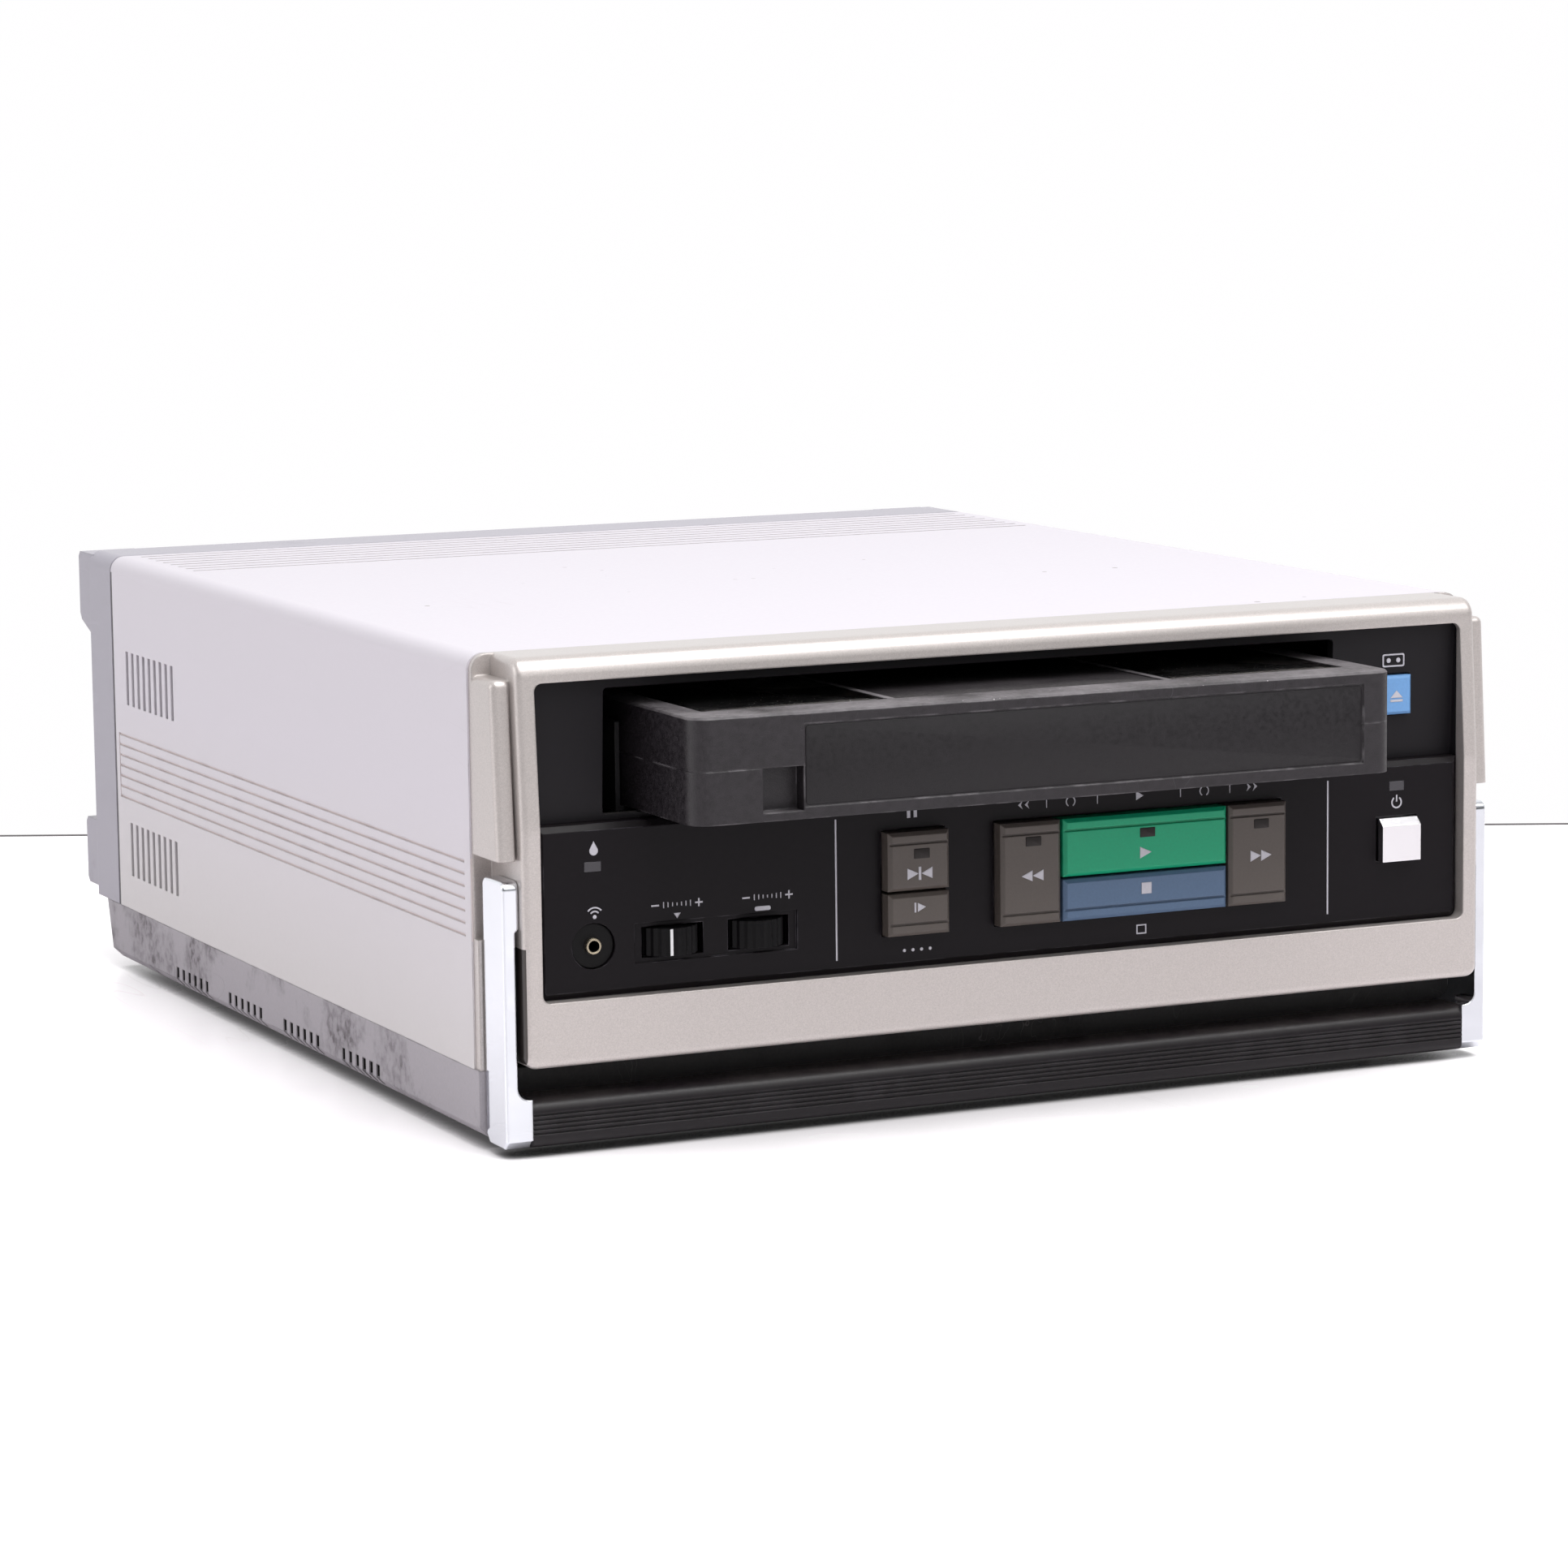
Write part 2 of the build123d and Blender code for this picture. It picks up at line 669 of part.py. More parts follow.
with BuildPart() as upper_panel:
    with BuildSketch(along(-panel_half)):
        with BuildLine():
            Polyline((upper_face(step_z), step_z), (upper_face(bezel_inner_top), bezel_inner_top),
                     (upper_face(bezel_inner_top) + upper_t, bezel_inner_top),
                     (upper_face(step_z) + upper_t, step_z), close=True)
        make_face()
    extrude(amount=2 * panel_half)
    # hidden rims that seat behind the bezel's window
    rim_back = upper_face(bezel_inner_top) + upper_t
    for side in (-1, 1):
        rim_x = sorted((side * (window_half_w + panel_clear), side * panel_half))
        stock(rim_x, (bezel_shell, rim_back), (step_z, bezel_inner_top))
    stock((-panel_half, panel_half), (bezel_shell, rim_back), (window_z[1] + panel_clear, bezel_inner_top))
    with BuildSketch(across(0)):
        with Locations(((slot_left + slot_right) / 2, (slot_bottom + slot_top) / 2)):
            RectangleRounded(slot_w, slot_top - slot_bottom, slot_corner_r)
        with Locations((eject_x, eject_z)):
            Rectangle(eject_w + 2 * key_clear, eject_h + 2 * key_clear)
    extrude(amount=-bezel_d, mode=Mode.SUBTRACT)
upper_panel.part.label = "upper_panel"
export_step(upper_panel.part, "parts/upper_panel.step")

panel_back = panel_set_d + panel_t
with BuildPart() as control_panel:
    panel_low = window_z[0] + panel_clear
    with BuildSketch(across(panel_back)):
        with Locations((0, (panel_low + step_z) / 2)):
            Rectangle(2 * (window_half_w - panel_clear), step_z - panel_low)
        fillet(vertices().group_by(Axis.Y)[0], window_r)
    extrude(amount=panel_t)
    chamfer(edges().group_by(Axis.Y)[0], panel_bevel)
    stock((-panel_half, panel_half), (bezel_shell, panel_back), (window_z[0] - panel_rim, step_z))
    stock((-window_half_w + panel_clear, window_half_w - panel_clear), (panel_back, upper_set_d + upper_t),
          (step_z - panel_lip, step_z))
    # openings for the two groups of keys and for the power key
    with BuildSketch(across(0)):
        with Locations(((key_block_x + key_block_right) / 2, (key_bottom + key_top) / 2)):
            Rectangle(key_block_right - key_block_x + 2 * key_clear, key_top - key_bottom + 2 * key_clear)
        with Locations((frame_key_x + key_w / 2, (key_bottom + key_top) / 2)):
            Rectangle(key_w + 2 * key_clear, key_top - key_bottom + 2 * key_clear)
        with Locations((power_x, power_z)):
            Rectangle(power_w + 2 * key_clear, power_h + 2 * key_clear)
        with Locations(*lamps):
            Rectangle(lamp_w, lamp_h)
        with Locations((wheel_x[0], wheel_z), (wheel_x[1], wheel_z)):
            Rectangle(wheel_window_w, wheel_window_h)
        with Locations((jack_x, jack_z)):
            RegularPolygon(jack_face_r + panel_clear, round_sides)
    extrude(amount=-panel_back - overlap, mode=Mode.SUBTRACT)
    with BuildSketch(across(panel_set_d)):
        with Locations(((wheel_x[0] + wheel_x[1]) / 2, wheel_z)):
            Rectangle(wheel_recess_w, wheel_recess_h)
    extrude(amount=-wheel_recess_depth, mode=Mode.SUBTRACT)
control_panel.part.label = "control_panel"
export_step(control_panel.part, "parts/control_panel.step")

with BuildPart() as lamp_lenses:
    with BuildSketch(across(panel_back)):
        with Locations(*lamps):
            Rectangle(lamp_w, lamp_h)
    extrude(amount=panel_t + lamp_proud)
lamp_lenses.part.label = "lamp_lenses"
export_step(lamp_lenses.part, "parts/lamp_lenses.step")

# keys
# left edge, width, lower and upper edge, and whether it is held at its upper and lower edge
play_x = key_block_x + key_w + key_gap
forward_x = play_x + wide_key_w + key_gap
split_low = key_split - key_gap
keys = {
    "still_button": (frame_key_x, key_w, key_split, key_top, True, False),
    "slow_button": (frame_key_x, key_w, key_bottom, split_low, False, True),
    "rewind_button": (key_block_x, key_w, key_bottom, key_top, True, True),
    "play_button": (play_x, wide_key_w, key_split, key_top, True, False),
    "stop_button": (play_x, wide_key_w, key_bottom, split_low, False, True),
    "forward_button": (forward_x, key_w, key_bottom, key_top, True, True),
}
for key_name, (x0, width, z0, z1, held_top, held_low) in keys.items():
    with BuildPart() as key:
        with BuildSketch(across(panel_back + key_flange)):
            with Locations((x0 + width / 2, (z0 + z1) / 2)):
                Rectangle(width, z1 - z0)
        extrude(amount=panel_back + key_flange - key_front)
        chamfer(edges().group_by(Axis.Y)[0], key_bevel)
        # fine groove along the bevelled edge
        for held, groove_z in ((held_top, z1 - key_groove_inset), (held_low, z0 + key_groove_inset)):
            if held:
                stock((x0, x0 + width), (key_front, key_front + key_groove),
                      (groove_z - key_groove / 2, groove_z + key_groove / 2), Mode.SUBTRACT)
        # edge that catches behind the panel
        if held_top:
            stock((x0, x0 + width), (panel_back, panel_back + key_flange), (z1, z1 + key_flange))
        if held_low:
            stock((x0, x0 + width), (panel_back, panel_back + key_flange), (z0 - key_flange, z0))
        # stem towards its switch
        stock((x0 + width / 2 - stem_w / 2, x0 + width / 2 + stem_w / 2), (panel_back, stem_back),
              ((z0 + z1) / 2 - stem_w / 2, (z0 + z1) / 2 + stem_w / 2))
    key.part.label = key_name
    export_step(key.part, f"parts/{key_name}.step")

with BuildPart() as power_button:
    with BuildSketch(across(panel_back + key_flange)):
        with Locations((power_x, power_z)):
            Rectangle(power_w, power_h)
    extrude(amount=panel_back + key_flange - power_front)
    chamfer(edges().group_by(Axis.Y)[0].group_by(Axis.Z)[-1], power_bevel)
    with BuildSketch(across(panel_back + key_flange)):
        with Locations((power_x, power_z)):
            Rectangle(power_w + 2 * key_flange, power_h + 2 * key_flange)
    extrude(amount=key_flange)
    stock((power_x - stem_w / 2, power_x + stem_w / 2), (panel_back, stem_back),
          (power_z - stem_w / 2, power_z + stem_w / 2))
power_button.part.label = "power_button"
export_step(power_button.part, "parts/power_button.step")

with BuildPart() as eject_button:
    eject_low = eject_z - eject_h / 2
    eject_high = eject_z + eject_h / 2
    eject_back = upper_face(eject_low - key_flange) + upper_t + key_flange
    with BuildSketch(across(eject_back)):
        with Locations((eject_x, eject_z)):
            Rectangle(eject_w, eject_h)
    extrude(amount=eject_back - eject_front)
    chamfer(edges().group_by(Axis.Y)[0], eject_bevel)
    # leaning flange flat against the back of the upper panel
    with BuildSketch(along(eject_x - eject_w / 2)):
        with BuildLine():
            flange_z = (eject_low - key_flange, eject_high + key_flange)
            Polyline((upper_face(flange_z[0]) + upper_t, flange_z[0]),
                     (upper_face(flange_z[1]) + upper_t, flange_z[1]),
                     (eject_back, flange_z[1]), (eject_back, flange_z[0]), close=True)
        make_face()
    extrude(amount=eject_w)
    stock((eject_x - stem_w / 2, eject_x + stem_w / 2), (upper_set_d, stem_back),
          (eject_z - stem_w / 2, eject_z + stem_w / 2))
eject_button.part.label = "eject_button"
export_step(eject_button.part, "parts/eject_button.step")

# rear panel and its sockets
with BuildPart() as rear_panel:
    with BuildSketch(across(rear_panel_d)):
        with Locations((0, frame_mid_z)):
            Rectangle(2 * panel_rebate_half, cover_h - 2 * panel_rebate_low)
        with Locations((inlet_x, inlet_z)):
            Rectangle(inlet_w, inlet_h, mode=Mode.SUBTRACT)
    extrude(amount=rear_panel_t)
rear_panel.part.label = "rear_panel"
export_step(rear_panel.part, "parts/rear_panel.step")

# sockets: a hexagonal nut and a bored barrel
socket_sets = (
    ("coax_sockets", coax_x, coax_r, coax_r - coax_wall),
    ("phono_sockets", phono_x, phono_r, phono_bore_r),
)
for sockets_name, places, barrel_r, bore_r in socket_sets:
    centres = [(x, socket_z) for x in places]
    with BuildPart() as sockets:
        with BuildSketch(across(rear_panel_d)):
            with Locations(centres):
                RegularPolygon(barrel_r + socket_rim, 6)
        extrude(amount=-socket_rim)
        with BuildSketch(across(rear_panel_d + socket_rim)):
            with Locations(centres):
                Circle(barrel_r)
                RegularPolygon(bore_r, bore_sides, mode=Mode.SUBTRACT)
        extrude(amount=socket_rim - socket_len)
    sockets.part.label = sockets_name
    export_step(sockets.part, f"parts/{sockets_name}.step")

with BuildPart() as mains_inlet:
    with BuildSketch(across(rear_panel_d - inlet_depth)):
        with Locations((inlet_x, inlet_z)):
            Rectangle(inlet_w, inlet_h)
    extrude(amount=-inlet_depth)
    with BuildSketch(across(rear_panel_d)):
        with Locations((inlet_x, inlet_z)):
            Rectangle(inlet_w + 2 * socket_rim, inlet_h + 2 * socket_rim)
    extrude(amount=-socket_rim)
    # two-lobed recess with its contact pins
    with BuildSketch(across(rear_panel_d + socket_rim)):
        with Locations((inlet_x, inlet_z)):
            Rectangle(inlet_recess_w, inlet_recess_h)
        chamfer(vertices(), inlet_recess_h * inlet_lobe)
        with Locations((inlet_x, inlet_z)):
            with GridLocations(inlet_pin_pitch, 0, 2, 1):
                Rectangle(inlet_pin_w, inlet_pin_w, mode=Mode.SUBTRACT)
    extrude(amount=inlet_depth - socket_rim, mode=Mode.SUBTRACT)
mains_inlet.part.label = "mains_inlet"
export_step(mains_inlet.part, "parts/mains_inlet.step")

with BuildPart() as rf_converter:
    stock((coax_x[0] - rf_margin, coax_x[1] + rf_margin), (rear_panel_d - rear_panel_t - rf_len,
          rear_panel_d - rear_panel_t), (socket_z - rf_h / 2, socket_z + rf_h / 2))
    chamfer(edges().group_by(Axis.Y)[0], sheet_bend)
rf_converter.part.label = "rf_converter"
export_step(rf_converter.part, "parts/rf_converter.step")

# thumb wheels and remote socket
wheel_d = wheel_front + wheel_r
wheel_low = wheel_z - wheel_t / 2
with BuildPart() as wheel_controls:
    for x in wheel_x:
        stock((x - wheel_control_w / 2, x + wheel_control_w / 2), (panel_back, wheel_d + wheel_control_w / 2),
              (wheel_low - wheel_lift - wheel_control_h, wheel_low - wheel_lift))
    with BuildSketch(level(wheel_low - wheel_lift)):
        with Locations([(x, wheel_d) for x in wheel_x]):
            RegularPolygon(wheel_shaft_r, guide_sides)
    extrude(amount=wheel_t + 2 * wheel_lift)
wheel_controls.part.label = "wheel_controls"
export_step(wheel_controls.part, "parts/wheel_controls.step")

# rims with V-shaped flutes
flute_step = math.pi / wheel_flutes
for wheel_name, x in zip(("tracking_wheel", "slow_tracking_wheel"), wheel_x):
    with BuildPart() as wheel:
        with BuildSketch(level(wheel_low)):
            with Locations((x, wheel_d)):
                Polygon(*[((wheel_r - wheel_flute * (k % 2)) * math.cos(k * flute_step),
                           (wheel_r - wheel_flute * (k % 2)) * math.sin(k * flute_step))
                          for k in range(2 * wheel_flutes)], align=None)
                Circle(wheel_shaft_r + running_fit, mode=Mode.SUBTRACT)
        extrude(amount=wheel_t)
    wheel.part.label = wheel_name
    export_step(wheel.part, f"parts/{wheel_name}.step")

with BuildPart() as remote_jack:
    jack_face = panel_set_d + jack_set
    with BuildSketch(across(jack_face - jack_ring_proud)):
        with Locations((jack_x, jack_z)):
            RegularPolygon(jack_ring_r, jack_ring_sides)
    extrude(amount=-jack_ring_proud)
    with BuildSketch(across(jack_face)):
        with Locations((jack_x, jack_z)):
            RegularPolygon(jack_face_r, round_sides)
    extrude(amount=jack_face - panel_back)
    with BuildSketch(across(panel_back)):
        with Locations((jack_x, jack_z)):
            Rectangle(2 * jack_body_r, 2 * jack_body_r)
    extrude(amount=panel_back - jack_face - jack_len)
    with BuildSketch(across(jack_face - jack_ring_proud)):
        with Locations((jack_x, jack_z)):
            Circle(jack_bore_r)
    extrude(amount=-jack_len, mode=Mode.SUBTRACT)
remote_jack.part.label = "remote_jack"
export_step(remote_jack.part, "parts/remote_jack.step")

with BuildPart() as switch_board:
    stock((board_left, board_right), (board_d, board_d + board_t), (board_low, board_high))
    stock((eject_x - board_tower_w / 2, eject_x + board_tower_w / 2), (board_d, board_d + board_t),
          (board_high, eject_z + eject_h))
    with BuildSketch(across(panel_back)):
        with Locations([(x, board_post_z[k // 2]) for k, x in enumerate(board_post_x)]):
            Rectangle(2 * peg_half, 2 * peg_half)
    extrude(amount=-(board_d - panel_back))
switch_board.part.label = "switch_board"
export_step(switch_board.part, "parts/switch_board.step")

# carrying handle
foot_top = arm_bottom + arm_foot_h
boss_low = arm_top - boss_h
boss_inner = arm_inner - boss_t
for side, arm_name in ((-1, "handle_arm_left"), (1, "handle_arm_right")):
    with BuildPart() as arm:
        with BuildSketch(across(arm_front)):
            with BuildLine():
                Polyline((side * arm_outer, arm_bottom), (side * grip_half, arm_bottom),
                         (side * grip_half, foot_top), (side * arm_inner, foot_top),
                         (side * arm_inner, boss_low),
                         (side * boss_inner, boss_low + boss_t), (side * boss_inner, arm_top),
                         (side * arm_outer, arm_top), close=True)
            make_face()
            fillet(vertices().sort_by_distance((side * arm_inner, foot_top))[0], arm_foot_r)
        extrude(amount=-arm_w)
        fillet(edges().filter_by(Axis.X).group_by(Axis.Z)[-1], arm_corner_r)
        chamfer(edges().filter_by(Axis.X).group_by(Axis.Z)[0], arm_corner_r)
        chamfer(edges().filter_by(lambda e: abs(abs(e.center().X) - arm_outer) < 0.01), arm_edge)
    arm.part.label = arm_name
    export_step(arm.part, f"parts/{arm_name}.step")

with BuildPart() as handle_grip:
    with BuildSketch(along(-grip_half)):
        with BuildLine():
            Polyline((arm_front, arm_bottom), (arm_back, arm_bottom), (arm_back, foot_top),
                     (arm_front, foot_top), close=True)
        make_face()
        fillet(vertices().group_by(Axis.Y)[-1], grip_top_r)
        fillet(vertices().group_by(Axis.Y)[0], grip_low_r)
        with Locations((arm_front, grip_groove_z)):
            with GridLocations(0, grip_groove_pitch, 1, grip_groove_count):
                Rectangle(2 * grip_groove_depth, grip_groove_w, mode=Mode.SUBTRACT)
    extrude(amount=2 * grip_half)
handle_grip.part.label = "handle_grip"
export_step(handle_grip.part, "parts/handle_grip.step")

with BuildPart() as handle_pins:
    for side in (-1, 1):
        with BuildSketch(along(side * boss_inner)):
            with Locations((pivot_d, pivot_z)):
                Circle(pivot_r)
        extrude(amount=-side * (boss_inner - panel_half + pivot_tail))
handle_pins.part.label = "handle_pins"
export_step(handle_pins.part, "parts/handle_pins.step")

# deck chassis and what stands on it
chassis_top = chassis_z + chassis_t
arm_level = chassis_top + guide_h / 2
spindle_low = chassis_top + spindle_lift + wheel_lift
spindle_places = (cassette_mid - reel_pitch / 2, cassette_mid + reel_pitch / 2)
tube_z = (chassis_z - capstan_tube_low, chassis_top + capstan_tube_h)
flywheel_top = tube_z[0] - drum_gap
roller_x = pinch_pivot[0] + pinch_arm_len * math.cos(math.radians(pinch_angle))
roller_d = pinch_pivot[1] + pinch_arm_len * math.sin(math.radians(pinch_angle))
roller_z = (arm_level + guide_cap_h + wheel_lift, arm_level + guide_cap_h + wheel_lift + pinch_h)
holder_x = (cassette_x0 - cassette_clear, cassette_x1 + cassette_clear)
holder_low = cassette_z - holder_clear - holder_t
holder_high = cassette_top + holder_clear

with BuildPart() as deck_chassis:
    stock((-chassis_half_w, chassis_half_w), (chassis_front, chassis_back), (chassis_z, chassis_top))
    # stiffening lips along both sides
    for side in (-1, 1):
        lip = sorted((side * chassis_half_w, side * (chassis_half_w - chassis_t)))
        stock(lip, (pillar_d[0] + 2 * post_half, pillar_d[1] - 2 * post_half),
              (chassis_z, chassis_top + chassis_lip_h))
    for x in (-pillar_x, pillar_x):
        for d in pillar_d:
            post(x, d, (chassis_z, chassis_top), peg_half, Mode.SUBTRACT)
    post(capstan_x, capstan_d, (chassis_z, chassis_top), capstan_tube_r + cassette_clear, Mode.SUBTRACT)
deck_chassis.part.label = "deck_chassis"
export_step(deck_chassis.part, "parts/deck_chassis.step")

with BuildPart() as carriage_brackets:
    for edge, side in ((holder_x[0] - holder_t, -1), (holder_x[1] + holder_t, 1)):
        with BuildSketch(along(edge)):
            with BuildLine():
                Polyline((bracket_d[0], chassis_top), (bracket_d[1], chassis_top),
                         (bracket_d[1], cassette_top), (bracket_d[0] + bracket_slope, cassette_top),
                         close=True)
            make_face()
        extrude(amount=side * bracket_t)
        foot_x = sorted((edge, edge + side * bracket_foot_w))
        stock(foot_x, bracket_d, (chassis_top, chassis_top + bracket_t))
carriage_brackets.part.label = "carriage_brackets"
export_step(carriage_brackets.part, "parts/carriage_brackets.step")

with BuildPart() as cassette_holder:
    stock((holder_x[0] - holder_t, holder_x[1] + holder_t), (holder_front, holder_back),
          (holder_low, holder_low + holder_t))
    for edge, side in ((holder_x[0], -1), (holder_x[1], 1)):
        side_x = sorted((edge, edge + side * holder_t))
        stock(side_x, (holder_front, holder_back), (holder_low, cassette_top - door_room))
        stock(side_x, (lip_front, holder_back), (holder_low, holder_high + holder_t))
        lip_x = sorted((edge + side * holder_t, edge - side * holder_lip_w))
        stock(lip_x, (lip_front, holder_back), (holder_high, holder_high + holder_t))
    # the reel tables reach the cassette through this opening
    with BuildSketch(level(holder_low)):
        with Locations((cassette_mid, holder_back)):
            Rectangle(2 * holder_cut_half, 2 * (holder_back - holder_front - holder_apron))
    extrude(amount=holder_t, mode=Mode.SUBTRACT)
cassette_holder.part.label = "cassette_holder"
export_step(cassette_holder.part, "parts/cassette_holder.step")

# the drum stands tilted on its pedestal
drum_seat = Plane(origin=(drum_x, front_y + drum_d, chassis_top + drum_lift), x_dir=(1, 0, 0),
                  z_dir=(0, -math.sin(math.radians(drum_tilt)), math.cos(math.radians(drum_tilt))))
with BuildPart() as lower_drum:
    post(drum_x, drum_d, (chassis_top, chassis_top + drum_lift + lower_drum_h / 2), drum_pedestal_half)
    with BuildSketch(drum_seat):
        RegularPolygon(drum_r, drum_facets)
    extrude(amount=lower_drum_h)
    with BuildSketch(drum_seat.offset(lower_drum_h)):
        Circle(drum_shaft_r + running_fit)
    extrude(amount=-drum_shaft_len - drum_gap, mode=Mode.SUBTRACT)
lower_drum.part.label = "lower_drum"
export_step(lower_drum.part, "parts/lower_drum.step")

with BuildPart() as head_drum:
    with BuildSketch(drum_seat.offset(lower_drum_h + drum_gap)):
        RegularPolygon(drum_r, drum_facets)
    extrude(amount=upper_drum_h)
    with BuildSketch(drum_seat.offset(lower_drum_h + drum_gap)):
        RegularPolygon(drum_shaft_r, guide_sides)
    extrude(amount=-drum_shaft_len)
head_drum.part.label = "head_drum"
export_step(head_drum.part, "parts/head_drum.step")

with BuildPart() as deck_posts:
    # tape guides
    with BuildSketch(level(chassis_top)):
        with Locations(guide_places):
            RegularPolygon(guide_r, guide_sides)
    extrude(amount=guide_h)
    # pivot of the pinch arm and shafts of the two reel tables
    post(*pinch_pivot, (chassis_top, arm_level), guide_base_r)
    for x in spindle_places:
        post(x, spindle_d, (chassis_top, chassis_top + spindle_lift), guide_base_r)
    spindle_shaft_top = spindle_low + spindle_h - spindle_roof
    shafts = [(*pinch_pivot, pinch_pin_r, arm_level + 2 * guide_cap_h)]
    shafts += [(x, spindle_d, spindle_shaft_r, spindle_shaft_top) for x in spindle_places]
    for x, d, shaft_r, shaft_top in shafts:
        with BuildSketch(level(chassis_top)):
            with Locations((x, d)):
                RegularPolygon(shaft_r, guide_sides)
        extrude(amount=shaft_top - chassis_top)
deck_posts.part.label = "deck_posts"
export_step(deck_posts.part, "parts/deck_posts.step")

with BuildPart() as erase_head:
    stock((erase_x - head_w / 2, erase_x + head_w / 2), (erase_d, erase_d + head_depth),
          (chassis_top, chassis_top + head_h))
    fillet(edges().filter_by(Axis.Z).group_by(Axis.Y)[0], head_nose_r)
erase_head.part.label = "erase_head"
export_step(erase_head.part, "parts/erase_head.step")

with BuildPart() as sound_head:
    stock((sound_x - head_w / 2, sound_x + head_w / 2), (sound_d, sound_d + head_depth),
          (chassis_top, chassis_top + head_h))
    fillet(edges().filter_by(Axis.Z).group_by(Axis.Y)[0], head_nose_r)
    stock((sound_x - head_w, sound_x + head_w), (sound_d + head_depth / 2, sound_d + 1.5 * head_depth),
          (chassis_top, chassis_top + chassis_t))
sound_head.part.label = "sound_head"
export_step(sound_head.part, "parts/sound_head.step")

with BuildPart() as capstan_housing:
    with BuildSketch(level(tube_z[0])):
        with Locations((capstan_x, capstan_d)):
            RegularPolygon(capstan_tube_r, guide_sides)
    extrude(amount=tube_z[1] - tube_z[0])
    post(capstan_x, capstan_d, (chassis_top, chassis_top + chassis_t), 2 * capstan_tube_r)
    turned(capstan_x, capstan_d, tube_z, capstan_r + running_fit, Mode.SUBTRACT)
capstan_housing.part.label = "capstan_housing"
export_step(capstan_housing.part, "parts/capstan_housing.step")

with BuildPart() as capstan:
    turned(capstan_x, capstan_d, (flywheel_top - flywheel_t, capstan_top), capstan_r)
    with BuildSketch(level(flywheel_top)):
        with Locations((capstan_x, capstan_d)):
            RegularPolygon(flywheel_r, round_sides)
    extrude(amount=-flywheel_t)
capstan.part.label = "capstan"
export_step(capstan.part, "parts/capstan.step")

with BuildPart() as pinch_arm:
    arm_mid = ((roller_x + pinch_pivot[0]) / 2, (roller_d + pinch_pivot[1]) / 2)
    with BuildSketch(level(arm_level)):
        with Locations(Location(arm_mid, pinch_angle)):
            Rectangle(pinch_arm_len + 2 * guide_base_r, 2 * guide_base_r)
        with Locations(pinch_pivot):
            Circle(pinch_pin_r + running_fit, mode=Mode.SUBTRACT)
    extrude(amount=guide_cap_h)
    with BuildSketch(level(arm_level + guide_cap_h)):
        with Locations((roller_x, roller_d)):
            RegularPolygon(pinch_pin_r, guide_sides)
    extrude(amount=roller_z[1] + wheel_lift - arm_level - guide_cap_h)
pinch_arm.part.label = "pinch_arm"
export_step(pinch_arm.part, "parts/pinch_arm.step")

with BuildPart() as pinch_roller:
    with BuildSketch(level(roller_z[0])):
        with Locations((roller_x, roller_d)):
            RegularPolygon(pinch_r, round_sides)
    extrude(amount=pinch_h)
    turned(roller_x, roller_d, roller_z, pinch_pin_r + running_fit, Mode.SUBTRACT)
pinch_roller.part.label = "pinch_roller"
export_step(pinch_roller.part, "parts/pinch_roller.step")

for spindle_x, table_name in zip(spindle_places, ("supply_table", "takeup_table")):
    with BuildPart() as reel_table:
        steps = ((reel_table_r, round_sides, reel_table_t), (spindle_r + spline_r, 6, spindle_h))
        for radius, sides, height in steps:
            with BuildSketch(level(spindle_low)):
                with Locations((spindle_x, spindle_d)):
                    RegularPolygon(radius, sides)
            extrude(amount=height)
        turned(spindle_x, spindle_d, (spindle_low, spindle_low + spindle_h - spindle_roof + wheel_lift),
               spindle_shaft_r + running_fit, Mode.SUBTRACT)
    reel_table.part.label = table_name
    export_step(reel_table.part, f"parts/{table_name}.step")

with BuildPart() as loading_motor:
    motor_z = chassis_top + motor_r
    with BuildSketch(along(motor_x)):
        with Locations((motor_d, motor_z)):
            RegularPolygon(motor_r, round_sides)
    extrude(amount=motor_len)
    with BuildSketch(along(motor_x + motor_len)):
        with Locations((motor_d, motor_z)):
            RegularPolygon(spindle_shaft_r, guide_sides)
    extrude(amount=motor_r)
    stock((motor_x, motor_x + motor_len), (motor_d - motor_r / 2, motor_d + motor_r / 2),
          (chassis_top, motor_z))
loading_motor.part.label = "loading_motor"
export_step(loading_motor.part, "parts/loading_motor.step")

# boards and power supply
with BuildPart() as main_board:
    stock((-board_half_w, board_half_w), main_board_d, (pcb_z, pcb_z + pcb_t))
    board_mid = front_y + sum(main_board_d) / 2
    with Locations((0, board_mid, pcb_z + pcb_t + chip_h / 2)):
        with GridLocations(chip_pitch, chip_pitch, 4, 3):
            Box(chip_l, chip_w, chip_h)
main_board.part.label = "main_board"
export_step(main_board.part, "parts/main_board.step")

with BuildPart() as power_board:
    stock(power_board_x, power_board_d, (pcb_z, pcb_z + pcb_t))
    with BuildSketch(level(pcb_z + pcb_t)):
        with Locations([(x, smoothing_d) for x in smoothing_x]):
            RegularPolygon(smoothing_r, round_sides)
    extrude(amount=smoothing_h)
power_board.part.label = "power_board"
export_step(power_board.part, "parts/power_board.step")

with BuildPart() as heat_sink:
    sink_mid = sum(sink_x) / 2
    stock(sink_x, (sink_d, sink_d + bracket_t), (pcb_z + pcb_t, pcb_z + pcb_t + sink_h))
    with Locations((sink_mid, front_y + sink_d + bracket_t + fin_depth / 2, pcb_z + pcb_t + sink_h / 2)):
        with GridLocations((sink_x[1] - sink_x[0] - fin_t) / (fin_count - 1), 0, fin_count, 1):
            Box(fin_t, fin_depth, sink_h)
heat_sink.part.label = "heat_sink"
export_step(heat_sink.part, "parts/heat_sink.step")

